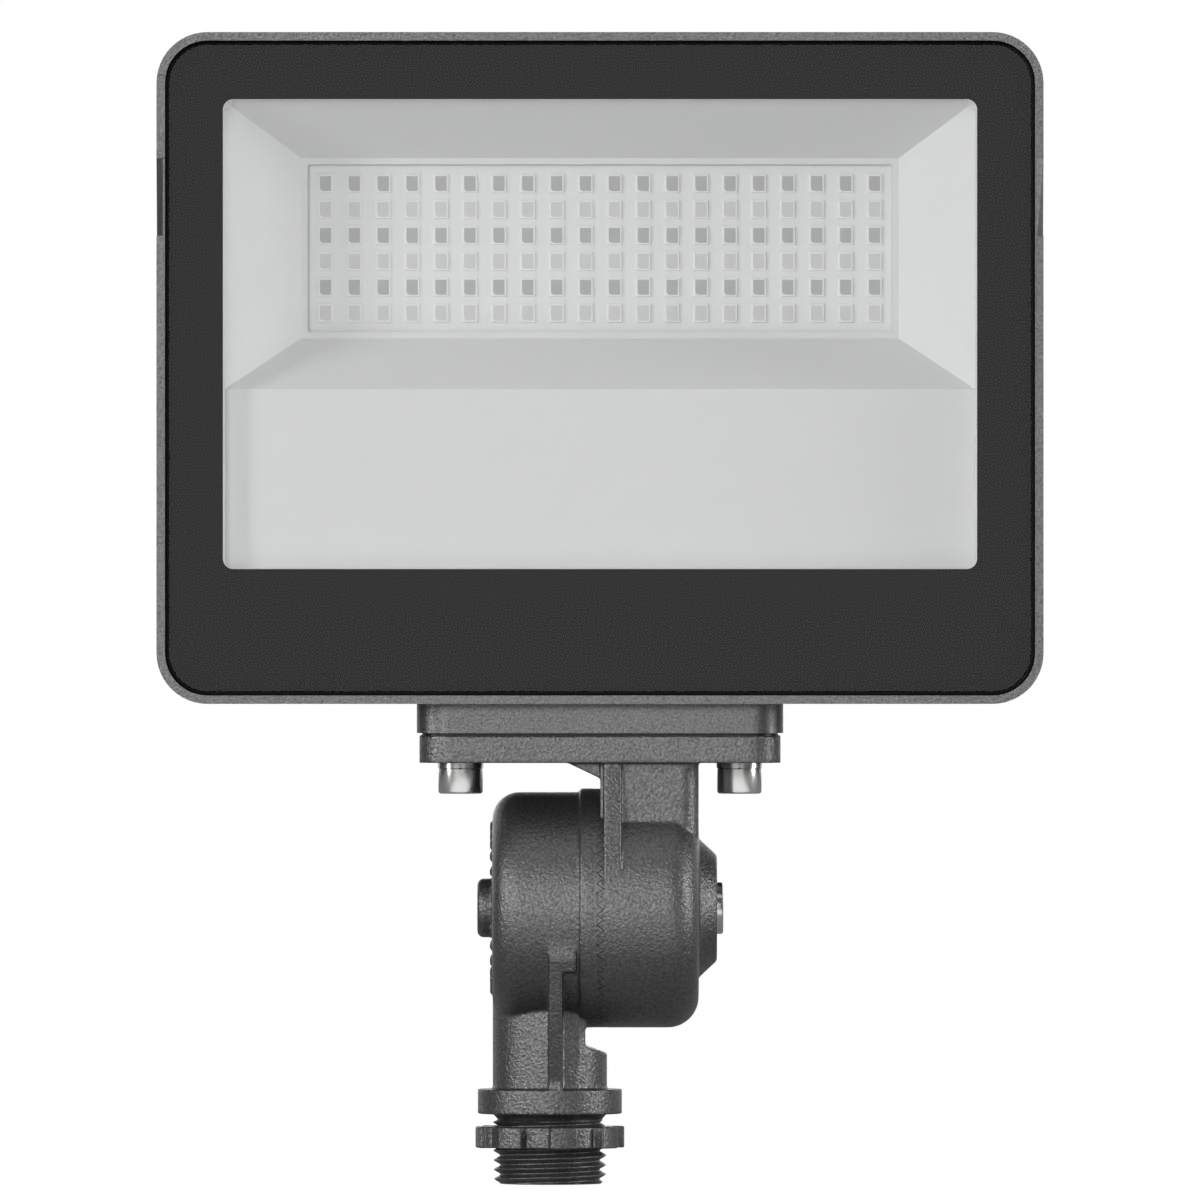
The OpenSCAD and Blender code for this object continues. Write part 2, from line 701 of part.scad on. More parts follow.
module input_terminal() color([0.15, 0.35, 0.2]) difference() {
    brick(input_dx, 3 * terminal_way, pcb_front - terminal_d, pcb_front, input_z, 8);
    for (i = [-1 : 1])
        translate([split_x + input_dx + terminal_way * i, pcb_front - terminal_d / 2, input_z - 5])
            cylinder(r = 1.6, h = 6);
}

module output_terminal() color([0.9, 0.9, 0.88]) difference() {
    brick(output_dx, 4 * lead_pitch, pcb_front - 0.8 * terminal_d, pcb_front, output_z, output_h);
    for (i = [-1 : 1])
        rod_y(output_dx + lead_pitch * i, output_z, lead_r + run, pcb_front - terminal_d, pcb_front - 3);
}

// Leads from the driver forward over the floor and up to the emitter board
module led_leads() color([0.75, 0.1, 0.1]) for (i = [-1 : 1]) {
    x = split_x + output_dx + lead_pitch * i;
    z = output_z;
    translate([x, pcb_front - 4, z]) rotate([90, 0, 0])
        cylinder(r = lead_r, h = pcb_front - 4 - lead_y - lead_bend);
    translate([x, lead_y + lead_bend, z + lead_bend]) rotate([180, 0, 0]) rotate([90, 0, 90])
        rotate_extrude(angle = 90) translate([lead_bend, 0]) circle(lead_r);
    translate([x, lead_y, z + lead_bend]) cylinder(r = lead_r, h = lead_top - z - lead_bend);
}

module ground_screw() color([0.2, 0.6, 0.3]) translate([ground_dx, 0, 0])
    pan_screw(ground_z, bay_floor_y, bay_wall - 1);

module selector_switch() color([0.1, 0.1, 0.1]) difference() {
    brick(selector_dx, switch_w, pcb_back, bay_floor_y - 0.1, selector_z, switch_h);
    brick(selector_dx, slot_w, bay_floor_y - slot_d, bay_floor_y, selector_z, slide_w);
}

module selector_slide() color([0.92, 0.92, 0.9])
    brick(selector_dx, slide_w, bay_floor_y - slot_d + fit, bay_floor_y + 1.4, selector_z, slide_w - 2 * fit);

// Rubber plug that closes the selector window from behind
module selector_plug() color([0.1, 0.1, 0.1]) {
    rod_y(selector_dx, selector_z, selector_r - fit, bay_floor_y + 1.8, bay_y + 0.2);
    rod_y(selector_dx, selector_z, selector_r + 2, bay_y + 0.2, bay_y + 1.7);
    brick(selector_dx, 2, bay_y + 1, bay_y + 3.2, selector_z, 9);
}

module wire_grommet() color([0.06, 0.06, 0.06]) difference() {
    union() {
        translate([arm_cx, 0, pad_z]) cylinder(r = grommet_r, h = head_z + wall - pad_z);
        translate([arm_cx, 0, head_z + wall]) cylinder(r = grommet_r + grommet_lip, h = grommet_lip);
    }
    translate([arm_cx, 0, pad_z - 1]) cylinder(r = grommet_bore_r, h = head_z + wall - pad_z + 4);
}

module flange_holes(r, z0, h) {
    for (sx = [-1, 1]) translate([split_x + sx * flange_pitch / 2, 0, z0]) cylinder(r = r, h = h);
}

module flange_gasket() color([0.05, 0.05, 0.05]) difference() {
    plan(flange_w - 2 * flange_in, flange_d - 2 * flange_in, flange_r - flange_in, gasket_z, pad_z);
    flange_holes(m5_r + fit, gasket_z - 1, gasket_t + 2);
    translate([arm_cx, 0, gasket_z - 1]) cylinder(r = arm_wire_r + 0.6, h = gasket_t + 2);
}

module flange_screws() color("gainsboro") difference() {
    for (sx = [-1, 1]) translate([split_x + sx * flange_pitch / 2, 0, 0]) {
        translate([0, 0, screw_zb - m5_head_h]) cylinder(r = m5_head_r, h = m5_head_h);
        translate([0, 0, screw_zb]) cylinder(r = m5_r, h = m5_l);
    }
    for (sx = [-1, 1]) translate([split_x + sx * flange_pitch / 2, 0, screw_zb - m5_head_h - 1])
        cylinder(r = m5_hex_r, h = m5_hex_d + 1, $fn = 6);
}

module flange_washers() color("silver") difference() {
    for (sx = [-1, 1]) translate([split_x + sx * flange_pitch / 2, 0, screw_zb])
        cylinder(r = m5_head_r + 0.15, h = washer_t);
    flange_holes(m5_r + pin_play, screw_zb - 1, washer_t + 2);
    for (sx = [-1, 1]) translate([split_x + sx * flange_pitch / 2 - 0.3, -m5_head_r - 1, screw_zb - 1])
        cube([0.6, m5_head_r, washer_t + 2]);
}

// Points of a toothed ring whose flanks all aim at the tilt axis; its base lies at -base
function ring_points(r_in, r_out, base) = [
    for (k = [0 : 2 * teeth - 1]) let (a = k * 180 / teeth, s = (k % 2 == 0 ? 1 : -1) * tooth_h / 2)
        each [
            [r_in * cos(a), r_in * sin(a), -base],
            [r_out * cos(a), r_out * sin(a), -base],
            [r_in * cos(a), r_in * sin(a), s * r_in / barrel_r],
            [r_out * cos(a), r_out * sin(a), s * r_out / barrel_r]
        ]
];

// Faces between section k and the next one: base, top, inner and outer wall
function ring_faces() = [
    for (k = [0 : 2 * teeth - 1]) let (a = 4 * k, b = 4 * ((k + 1) % (2 * teeth)))
        each [
            [a, a + 1, b + 1, b],
            [a + 2, b + 2, b + 3, a + 3],
            [a, b, b + 2, a + 2],
            [a + 1, a + 3, b + 3, b + 1]
        ]
];

module tooth_ring() {
    polyhedron(ring_points(tooth_in_r, pitch_r, tooth_h / 2 + 1.2), ring_faces());
}

// The tilt axis as a local Z axis that runs along X, with its zero at the split line
module at_split() {
    translate([split_x, 0, pivot_z]) rotate([0, 90, 0]) children();
}

module knuckle_upper() color([0.25, 0.25, 0.26]) difference() {
    union() {
        plan(flange_w - flange_in, flange_d - flange_in, flange_r, plate_z, gasket_z);
        // Barrel with its rounded end, and the boss that holds the bolt's head
        turned() barrel_section(barrel_r, up_end_x, split_x + face_back, up_round);
        turned() polygon([
            [0, up_end_x - 1], [boss_r, up_end_x - 1], [boss_r, up_end_x],
            [boss_face_r, up_end_x + boss_l - 0.2], [boss_face_r - 0.3, up_end_x + boss_l],
            [0, up_end_x + boss_l]
        ]);
        at_split() translate([0, 0, tooth_gap]) mirror([0, 0, 1]) rotate([0, 0, 180 / teeth]) tooth_ring();
        // Face that presses on the sealing ring
        turned() translate([hollow_r - 1, seal_face_x]) square([tooth_in_r - hollow_r + 0.6, 2]);
        difference() {
            union() {
                arm();
                upper_rib();
                gusset();
            }
            turned() translate([0, split_x - 3]) square([barrel_r + fit, 3 + face_back + 0.02]);
        }
    }
    turned() translate([hub_r, split_x - 3]) square([hollow_r - hub_r, barrel_up_l + 3 - knuckle_wall]);
    translate([arm_cx, 0, pivot_z + hub_r + 1]) cylinder(r = arm_wire_r, h = gasket_z - pivot_z);
    turned() translate([0, split_x - 3]) square([m6_r + run, barrel_up_l + boss_l + 4]);
    turned() translate([0, bolt_seat_x - washer6_t]) square([counter_r, m6_head_h + washer6_t + 2]);
    flange_holes(m5_r + fit, plate_z - 1, plate_t + 2);
}

// Block between plate and barrel, its two outer edges rounded
module arm() {
    round_r = 3.5;
    x1 = barrel_up_l - 0.1;
    translate([split_x + 0.05, 0, pivot_z + arm_d - 2])
    linear_extrude(plate_gap + barrel_r - arm_d + 3) union() {
        translate([0, -arm_d]) square([x1 - round_r, 2 * arm_d]);
        translate([0, -arm_d + round_r]) square([x1, 2 * (arm_d - round_r)]);
        for (sy = [-1, 1]) translate([x1 - round_r, sy * (arm_d - round_r)]) circle(round_r);
    }
}

// Rib from the front edge of the plate down the front of the upper barrel
module upper_rib() {
    translate([split_x + 0.7, 0, 0]) rotate([90, 0, 90]) linear_extrude(rib_t) polygon([
        [-arm_d + 1, plate_z + 1], [-flange_d / 2 + 1, plate_z + 1], [-flange_d / 2 + 1, plate_z],
        [-barrel_r + 0.6, pivot_z + 8], [-barrel_r + 5, pivot_z + 5], [-arm_d + 1, pivot_z + 14]
    ]);
}

// Small web between the plate and the side of the arm
module gusset() {
    translate([split_x + 0.1, arm_d - 1, 0]) rotate([90, 0, 0]) linear_extrude(2 * arm_d - 2)
        polygon([
            [0, plate_z - 3], [1, plate_z - 3], [1, plate_z + 0.5],
            [-gusset_w, plate_z + 0.5], [-gusset_w, plate_z]
        ]);
}

module knuckle_lower() color([0.25, 0.25, 0.26]) difference() {
    union() {
        turned() barrel_section(barrel_small_r, low_end_x, split_x - face_back, low_round);
        turned() translate([0, split_x - barrel_collar_l]) square([barrel_r, barrel_collar_l - face_back]);
        at_split() tooth_ring();
        end_cap();
        stem();
        lower_rib();
        // Collar above the thread
        translate([0, 0, thread_l]) cylinder(r = collar_r, h = collar_t);
        thread();
    }
    turned() translate([hub_r, low_end_x + knuckle_wall]) square([hollow_r - hub_r, barrel_low_l]);
    // Groove of the sealing ring
    turned() translate([ring_r - ring_t / 2 - 0.05, seal_face_x - run - ring_t]) square([ring_t + 0.1, 5]);
    turned() translate([0, low_end_x]) square([m6_r + run, barrel_low_l + 3]);
    translate([0, 0, -1]) cylinder(r = wire_r, h = collar_z + 1);
    translate([stem_bore_x, 0, collar_z - 1]) cylinder(r = stem_bore_r, h = pivot_z - hub_r - collar_z);
}

// Rounded cap at the outer end of the bolt's thread
module end_cap() {
    turned() union() {
        translate([0, low_end_x - cap_l]) square([cap_r - cap_round, cap_l + 1]);
        translate([0, low_end_x - cap_l + cap_round]) square([cap_r, cap_l]);
        translate([cap_r - cap_round, low_end_x - cap_l + cap_round]) circle(cap_round);
    }
    // Raised index marks round the cap, one for each fifteen degrees
    for (i = [0 : 23])
        translate([low_end_x - 0.5, 0, pivot_z]) rotate([15 * i, 0, 0])
            translate([0, -mark_w / 2, barrel_small_r - 9]) cube([1, mark_w, i % 6 == 0 ? 3.2 : 1.8]);
}

// Round stem, cut back on the right so that the upper barrel can turn past it
module stem() {
    translate([0, 0, thread_l + 1]) cylinder(r = stem_r, h = lug_z - thread_l - 2.5);
    intersection() {
        translate([0, 0, thread_l + 1]) cylinder(r = stem_r, h = pivot_z - thread_l - 12);
        union() {
            translate([-stem_r - 1, -stem_r - 1, 0]) cube([stem_r + 1 + stem_cut_x, 2 * stem_r + 2, pivot_z]);
            translate([0, stem_r + 1, 0]) rotate([90, 0, 0]) linear_extrude(2 * stem_r + 2)
                polygon([
                    [0, collar_z], [stem_r + 1, collar_z], [stem_r + 1, lug_z - 1.7],
                    [stem_cut_x, lug_z], [0, lug_z]
                ]);
        }
    }
}

// Rib from the lower barrel's front down to the collar, thicker where it leaves the barrel
module lower_rib() {
    translate([low_rib_x, 0, 0]) rotate([90, 0, 90]) linear_extrude(low_rib_t) polygon([
        [-stem_r + 2, collar_z - 1], [foot_y, collar_z - 1], [foot_y, foot_z],
        [brow_y, brow_z], [brow_y + 4.2, brow_z + 4], [-stem_r + 2, pivot_z - 14]
    ]);
    translate([low_rib_x, 0, 0]) rotate([90, 0, 90]) linear_extrude(low_rib_root_t) polygon([
        [-stem_r + 2, narrow_z], [narrow_y, narrow_z], [brow_y, brow_z],
        [brow_y + 4.2, brow_z + 4], [-stem_r + 2, brow_z + 4]
    ]);
}

nut_lobe_w = 41.6 / nut_lobes;
land = 0.35;
root_flat = 0.2;
taper_step = 0.23;
flank = (pitch - land - root_flat) / 2;
turns = floor((thread_l - 0.5) / pitch);
thread_start = thread_l - turns * pitch;

// Crest radius at a height: the pipe taper is drawn as one step, at the locknut
function crest(z) = z < nut_z - 0.2 ? thread_r : thread_r + taper_step;

// Thread as grooves of the real pitch and depth
module thread() {
    root = thread_r - thread_d;
    rotate_extrude() polygon(concat(
        [[0, 0], [root + 0.2, 0]],
        [for (i = [0 : turns - 1]) let (z = thread_start + i * pitch) each [
            [crest(z), z], [crest(z), z + land], [root, z + land + flank], [root, z + land + flank + root_flat]
        ]],
        [[thread_r + taper_step, thread_l], [thread_r + taper_step, thread_l + 1], [0, thread_l + 1]]
    ));
}

module knuckle_o_ring() color([0.05, 0.05, 0.05])
    turned() translate([ring_r, seal_face_x - run - ring_t / 2]) circle(ring_t / 2 - 0.02);

module tilt_bolt() color("gainsboro") difference() {
    union() {
        turned() translate([0, bolt_seat_x]) square([m6_head_r - 0.5, m6_head_h]);
        turned() translate([0, bolt_seat_x]) square([m6_head_r, m6_head_h - 0.5]);
        turned() translate([m6_head_r - 0.5, bolt_seat_x + m6_head_h - 0.5]) circle(0.5);
        turned() translate([0, low_end_x + 1]) square([m6_r, bolt_seat_x - low_end_x]);
    }
    translate([bolt_seat_x + m6_head_h - m6_hex_d, 0, pivot_z]) rotate([0, 90, 0])
        cylinder(r = m6_hex_r, h = m6_hex_d + 1, $fn = 6);
}

module tilt_washer() color("silver") turned()
    translate([m6_r + 0.2, bolt_seat_x - washer6_t + 0.02]) square([m6_head_r - m6_r - 0.3, washer6_t - 0.04]);

module locknut() color([0.28, 0.28, 0.29]) translate([0, 0, nut_z]) difference() {
    linear_extrude(nut_t) union() {
        circle(nut_r - 2.1);
        for (i = [0 : nut_lobes - 1]) rotate((i + 0.25) * 360 / nut_lobes) intersection() {
            circle(nut_r);
            translate([nut_r - 5, -nut_lobe_w / 2]) square([6, nut_lobe_w]);
        }
    }
    translate([0, 0, -1]) cylinder(r = thread_r + taper_step + run, h = nut_t + 2);
}

housing();
driver_bay();
cooling_fins();
head_pad();
lens_glass();
lens_border();
lens_gasket();
reflector();
reflector_screws();
led_board();
led_frames();
phosphor_cool();
phosphor_warm();
thermal_pad();
board_screws();
driver_insulator();
driver_board();
transformer();
electrolytic_capacitors();
film_capacitor();
choke();
rectifier();
fuse();
input_terminal();
output_terminal();
led_leads();
driver_screws();
ground_screw();
selector_switch();
selector_slide();
selector_plug();
wire_grommet();
flange_gasket();
knuckle_upper();
flange_screws();
flange_washers();
knuckle_lower();
knuckle_o_ring();
tilt_bolt();
tilt_washer();
locknut();
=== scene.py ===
import math
import bmesh
import bpy
from mathutils import Matrix, Vector


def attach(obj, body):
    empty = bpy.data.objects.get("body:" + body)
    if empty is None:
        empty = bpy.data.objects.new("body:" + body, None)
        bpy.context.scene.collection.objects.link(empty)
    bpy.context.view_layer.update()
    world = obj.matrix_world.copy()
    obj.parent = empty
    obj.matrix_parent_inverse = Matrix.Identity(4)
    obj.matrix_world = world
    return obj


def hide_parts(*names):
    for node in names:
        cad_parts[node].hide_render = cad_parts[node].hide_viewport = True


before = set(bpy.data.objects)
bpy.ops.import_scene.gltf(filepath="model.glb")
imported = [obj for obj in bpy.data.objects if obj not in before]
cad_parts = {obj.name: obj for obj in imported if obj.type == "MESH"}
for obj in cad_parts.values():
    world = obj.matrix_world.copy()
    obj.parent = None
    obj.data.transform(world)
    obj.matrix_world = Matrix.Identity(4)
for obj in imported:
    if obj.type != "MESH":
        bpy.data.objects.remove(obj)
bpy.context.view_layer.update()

# Studio. A long lens looks squarely at the front from 4 m, over a pale floor, under soft boxes:
# a large one in front on the left, weaker ones on the right and above, a tall strip on each side
# for the rounded edges, one behind and a small one lying in front for the underside.
mm = 0.001
camera_away = 4000.0
rim_front = 23.0
picture_width = 228.6
middle = Vector((9.6, 0.0, 111.8)) * mm
scene = bpy.context.scene
scene.view_settings.view_transform = "Standard"
lens_data = bpy.data.cameras.new("front_camera")
lens_data.sensor_width = 36.0
lens_data.lens = lens_data.sensor_width * (camera_away - rim_front) / picture_width
lens_data.clip_end = 30.0
camera = bpy.data.objects.new("front_camera", lens_data)
camera.location = middle + Vector((0.0, -camera_away, 0.0)) * mm
camera.rotation_euler = (math.pi / 2, 0.0, 0.0)
scene.collection.objects.link(camera)
scene.camera = camera


def soft_box(name, place, width, height, watts):
    """A rectangular lamp that points at the middle of the picture."""
    data = bpy.data.lights.new(name, "AREA")
    data.shape = "RECTANGLE"
    data.size = width
    data.size_y = height
    data.energy = watts
    lamp = bpy.data.objects.new(name, data)
    lamp.location = place
    lamp.rotation_euler = (middle - Vector(place)).to_track_quat("-Z", "Y").to_euler()
    lamp.visible_camera = False
    scene.collection.objects.link(lamp)
    return lamp


soft_box("front_box", (-1.15, -3.15, 0.84), 1.0, 0.8, 29)
soft_box("side_box", (0.66, -3.3, 0.75), 0.45, 0.6, 8.5)
soft_box("top_box", (0.1, -0.25, 0.85), 1.2, 0.8, 2.6)
soft_box("left_strip", (-1.33, -0.69, 0.4), 0.3, 0.7, 9)
soft_box("right_strip", (1.3, -0.25, 0.3), 0.25, 0.5, 7.5)
soft_box("back_box", (0.0, 3.2, 0.25), 1.2, 0.4, 5)
low_strip = soft_box("low_strip", (0.0, -0.3, 0.001), 0.4, 0.4, 0.45)
low_strip.rotation_euler = (math.pi, 0.0, 0.0)


def dark_panel(name, *corners):
    """A black panel that metal and paint reflect, as a studio hangs them; no camera sees it."""
    mat = bpy.data.materials.new(name)
    mat.use_nodes = True
    p = mat.node_tree.nodes["Principled BSDF"]
    p.inputs["Base Color"].default_value = (0.02, 0.02, 0.02, 1.0)
    p.inputs["Specular IOR Level"].default_value = 0.0
    mesh = bpy.data.meshes.new(name)
    mesh.from_pydata(corners, [], [(0, 1, 2, 3)])
    mesh.materials.append(mat)
    panel = bpy.data.objects.new(name, mesh)
    panel.visible_camera = False
    scene.collection.objects.link(panel)


dark_panel("overhead_panel", (-1.4, -2.4, 1.2), (1.4, -2.4, 1.2), (1.4, 2.0, 0.9), (-1.4, 2.0, 0.9))
dark_panel("left_panel", (-1.4, -0.5, 0.0), (-1.4, 1.2, 0.0), (-1.4, 1.2, 0.9), (-1.4, -0.5, 0.9))
dark_panel("right_panel", (1.4, -0.5, 0.0), (1.4, 1.2, 0.0), (1.4, 1.2, 0.9), (1.4, -0.5, 0.9))
dark_panel("left_flag", (-1.45, -0.5, 0.0), (-1.7, -2.2, 0.0), (-1.7, -2.2, 0.9), (-1.45, -0.5, 0.9))
dark_panel("right_flag", (0.68, -1.9, 0.0), (1.65, -0.65, 0.0), (1.65, -0.65, 0.9), (0.68, -1.9, 0.9))


def shown_rays(nt, to_camera=1.0, in_gloss=1.0):
    """How much backdrop the camera, a view through glass and a reflection get; 0 for light on the object."""
    path = nt.nodes.new("ShaderNodeLightPath")
    total = None
    shares = (("Is Camera Ray", to_camera), ("Is Transmission Ray", to_camera), ("Is Glossy Ray", in_gloss))
    for ray, share in shares:
        part = nt.nodes.new("ShaderNodeMath")
        part.operation = "MULTIPLY"
        nt.links.new(path.outputs[ray], part.inputs[0])
        part.inputs[1].default_value = share
        if total is not None:
            most = nt.nodes.new("ShaderNodeMath")
            most.operation = "MAXIMUM"
            nt.links.new(total, most.inputs[0])
            nt.links.new(part.outputs[0], most.inputs[1])
            part = most
        total = part.outputs[0]
    return total


def mixed(nt, share, first, second):
    """The first shader where the share is 0, and the second where it is 1."""
    mix = nt.nodes.new("ShaderNodeMixShader")
    for socket, value in zip(mix.inputs, (share, first, second)):
        nt.links.new(value, socket)
    return mix.outputs[0]


def white_background(nt, strength):
    """A white background shader of that strength."""
    node = nt.nodes.new("ShaderNodeBackground")
    node.inputs["Color"].default_value = (1.0, 1.0, 1.0, 1.0)
    node.inputs["Strength"].default_value = strength
    return node.outputs[0]


world = bpy.data.worlds.new("pale_room")
scene.world = world
world.use_nodes = True
nt = world.node_tree
nt.nodes.clear()
room = white_background(nt, 0.18)
backdrop = white_background(nt, 1.0)
out = nt.nodes.new("ShaderNodeOutputWorld")
nt.links.new(mixed(nt, shown_rays(nt), room, backdrop), out.inputs["Surface"])

floor_mat = bpy.data.materials.new("pale_floor")
floor_mat.use_nodes = True
nt = floor_mat.node_tree
nt.nodes.clear()
paint = nt.nodes.new("ShaderNodeBsdfDiffuse")
paint.inputs["Color"].default_value = (0.28, 0.28, 0.28, 1.0)
glow = nt.nodes.new("ShaderNodeEmission")
glow.inputs["Strength"].default_value = 1.4
out = nt.nodes.new("ShaderNodeOutputMaterial")
floor_shader = mixed(nt, shown_rays(nt, 0.7, 0.1), paint.outputs[0], glow.outputs[0])
nt.links.new(floor_shader, out.inputs["Surface"])
floor_mesh = bpy.data.meshes.new("pale_floor")
floor_mesh.from_pydata([(-3, -3, 0), (3, -3, 0), (3, 3, 0), (-3, 3, 0)], [], [(0, 1, 2, 3)])
floor_mesh.materials.append(floor_mat)
floor = bpy.data.objects.new("pale_floor", floor_mesh)
floor.location = (0.0, 0.0, -0.0004)
scene.collection.objects.link(floor)

# Lower knuckle casting: round stem, collar and toothed barrel in one die casting of aluminium,
# dark grey textured powder coat all over. It is the CAD casting with the soft edges of a die casting.
split_x = 9.6
pivot_z = 52.8
barrel_r = 22.9
collar_z = 13.4
core_r = 9.0
rib_head_left, rib_head_right = -0.2, 5.0
rib_head_low, rib_head_high = 40.6, 43.0
rib_front_y = -20.3
rib_head_back = 0.55
step_x = 5.5
step_broken = 0.45
ring_back = 0.95
lower_run_out = [
    (-20.95, 42.8), (-21.06, 43.8), (-21.14, 44.8), (-21.26, 45.8), (-21.42, 46.8), (-21.3, 47.8),
    (-18.0, 47.8), (-18.0, 42.0),
]


def surface(name, color, roughness, metallic=0.0, specular=0.5):
    """A material with its Principled shader and the node tree to build on."""
    mat = bpy.data.materials.new(name)
    mat.use_nodes = True
    p = mat.node_tree.nodes["Principled BSDF"]
    p.inputs["Base Color"].default_value = (*color, 1.0)
    p.inputs["Roughness"].default_value = roughness
    p.inputs["Metallic"].default_value = metallic
    p.inputs["Specular IOR Level"].default_value = specular
    return mat, mat.node_tree, p


def math_node(nt, operation, a, b):
    """The output of a maths node; each of its two inputs is a number or a link."""
    node = nt.nodes.new("ShaderNodeMath")
    node.operation = operation
    for socket, value in zip(node.inputs, (a, b)):
        if isinstance(value, (int, float)):
            socket.default_value = value
        else:
            nt.links.new(value, socket)
    return node.outputs[0]


def spread(nt, value, low, high):
    """The value's range of 0 to 1 as a number from low to high."""
    node = nt.nodes.new("ShaderNodeMapRange")
    node.inputs["To Min"].default_value = low
    node.inputs["To Max"].default_value = high
    nt.links.new(value, node.inputs["Value"])
    return node.outputs[0]


def two_tone(nt, value, dark, light):
    """A colour between dark and light, as the value goes from 0 to 1."""
    mix = nt.nodes.new("ShaderNodeMix")
    mix.data_type = "RGBA"
    nt.links.new(value, mix.inputs["Factor"])
    mix.inputs["A"].default_value = (*dark, 1.0)
    mix.inputs["B"].default_value = (*light, 1.0)
    return mix.outputs["Result"]


def noise_at(nt, position, scale, roughness=0.5):
    """Noise from 0 to 1 in three octaves; its scale is a number or a link."""
    node = nt.nodes.new("ShaderNodeTexNoise")
    if isinstance(scale, (int, float)):
        node.inputs["Scale"].default_value = scale
    else:
        nt.links.new(scale, node.inputs["Scale"])
    node.inputs["Detail"].default_value = 3.0
    node.inputs["Roughness"].default_value = roughness
    nt.links.new(position, node.inputs["Vector"])
    return node.outputs["Fac"]


def bumped(nt, p, height, distance, strength=1.0):
    """Gives the shader a relief of that height, up to the distance in metres."""
    bump = nt.nodes.new("ShaderNodeBump")
    bump.inputs["Distance"].default_value = distance
    bump.inputs["Strength"].default_value = strength
    nt.links.new(height, bump.inputs["Height"])
    nt.links.new(bump.outputs["Normal"], p.inputs["Normal"])


# The wrinkled grain that textured powder leaves: rounded pebbles and finer creases between them
grain = bpy.data.node_groups.new("powder_grain", "ShaderNodeTree")
pebble_size = grain.interface.new_socket("Pebble size", in_out="INPUT", socket_type="NodeSocketFloat")
pebble_size.default_value = 0.0006
grain.interface.new_socket("Height", in_out="OUTPUT", socket_type="NodeSocketFloat")
grain.interface.new_socket("Pit shade", in_out="OUTPUT", socket_type="NodeSocketFloat")
grain.interface.new_socket("Cloud", in_out="OUTPUT", socket_type="NodeSocketFloat")
entry = grain.nodes.new("NodeGroupInput")
leave = grain.nodes.new("NodeGroupOutput")
place = grain.nodes.new("ShaderNodeTexCoord").outputs["Object"]
per_metre = math_node(grain, "DIVIDE", 1.0, entry.outputs["Pebble size"])
warp = grain.nodes.new("ShaderNodeVectorMath")
warp.operation = "MULTIPLY_ADD"
bend = grain.nodes.new("ShaderNodeTexNoise")
bend.inputs["Scale"].default_value = 1400.0
grain.links.new(place, bend.inputs["Vector"])
grain.links.new(bend.outputs["Color"], warp.inputs[0])
warp.inputs[1].default_value = (0.0005, 0.0005, 0.0005)
grain.links.new(place, warp.inputs[2])
pebbles = grain.nodes.new("ShaderNodeTexVoronoi")
pebbles.feature = "SMOOTH_F1"
pebbles.inputs["Smoothness"].default_value = 0.7
grain.links.new(warp.outputs[0], pebbles.inputs["Vector"])
grain.links.new(per_metre, pebbles.inputs["Scale"])
creases = noise_at(grain, place, math_node(grain, "MULTIPLY", per_metre, 1.1), 0.65)
height = math_node(grain, "SUBTRACT", creases, math_node(grain, "MULTIPLY", pebbles.outputs["Distance"], 0.6))
grain.links.new(height, leave.inputs["Height"])
# Painted shade: 0 where the relief is low and 1 where it is high, to darken the coat's colour in the hollows
pit_shade = grain.nodes.new("ShaderNodeMapRange")
pit_shade.inputs["From Min"].default_value = -0.1
pit_shade.inputs["From Max"].default_value = 0.45
grain.links.new(height, pit_shade.inputs["Value"])
grain.links.new(pit_shade.outputs[0], leave.inputs["Pit shade"])
grain.links.new(noise_at(grain, place, 60.0), leave.inputs["Cloud"])


def powder_coat(name, dark, light, pebble, relief):
    """Textured powder coat whose colour goes to dark as painted shade in its grain's low points, with that
    pebble size and relief in metres.
    """
    mat, nt, p = surface(name, light, 0.3, metallic=0.8)
    coat = nt.nodes.new("ShaderNodeGroup")
    coat.node_tree = grain
    coat.inputs["Pebble size"].default_value = pebble
    # The base colour is painted shade, darkest in the grain's low points, times a random cloudy tone
    pit_shade_and_tone = math_node(nt, "MULTIPLY", coat.outputs["Pit shade"], spread(nt, coat.outputs["Cloud"], 0.8, 1.2))
    nt.links.new(two_tone(nt, pit_shade_and_tone, dark, light), p.inputs["Base Color"])
    nt.links.new(spread(nt, coat.outputs["Pit shade"], 0.44, 0.32), p.inputs["Roughness"])
    bumped(nt, p, coat.outputs["Height"], relief, 0.9)
    return mat


cast_grey = powder_coat("cast_powder_coat", (0.085, 0.085, 0.085), (0.165, 0.165, 0.167), 0.00055, 0.00014)


def piece(name, mesh, mat, body, slot, *stands_for):
    """Puts a finished mesh into the scene as a piece of that body."""
    mesh.materials.clear()
    mesh.materials.append(mat)
    obj = bpy.data.objects.new(name, mesh)
    scene.collection.objects.link(obj)
    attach(obj, body)
    if stands_for:
        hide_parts(*stands_for)


def discard(obj):
    """Deletes a working object and its mesh."""
    mesh = obj.data
    bpy.data.objects.remove(obj)
    bpy.data.meshes.remove(mesh)


def finished_mesh(obj):
    """The object's mesh after its modifiers, as a plain mesh; the object itself is deleted."""
    done = bpy.data.meshes.new_from_object(obj.evaluated_get(bpy.context.evaluated_depsgraph_get()))
    discard(obj)
    return done


def with_modifiers(mesh, *steps):
    """The mesh after these modifiers, each a type with its settings, as a plain mesh."""
    obj = bpy.data.objects.new("work", mesh)
    scene.collection.objects.link(obj)
    for kind, settings in steps:
        modifier = obj.modifiers.new(kind.lower(), kind)
        for key, value in settings.items():
            setattr(modifier, key, value)
    return finished_mesh(obj)


def merged(node):
    """The CAD node's triangles with their shared corners joined, as a mesh to work on."""
    bm = bmesh.new()
    bm.from_mesh(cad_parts[node].data)
    bmesh.ops.remove_doubles(bm, verts=bm.verts, dist=1e-6)
    return bm


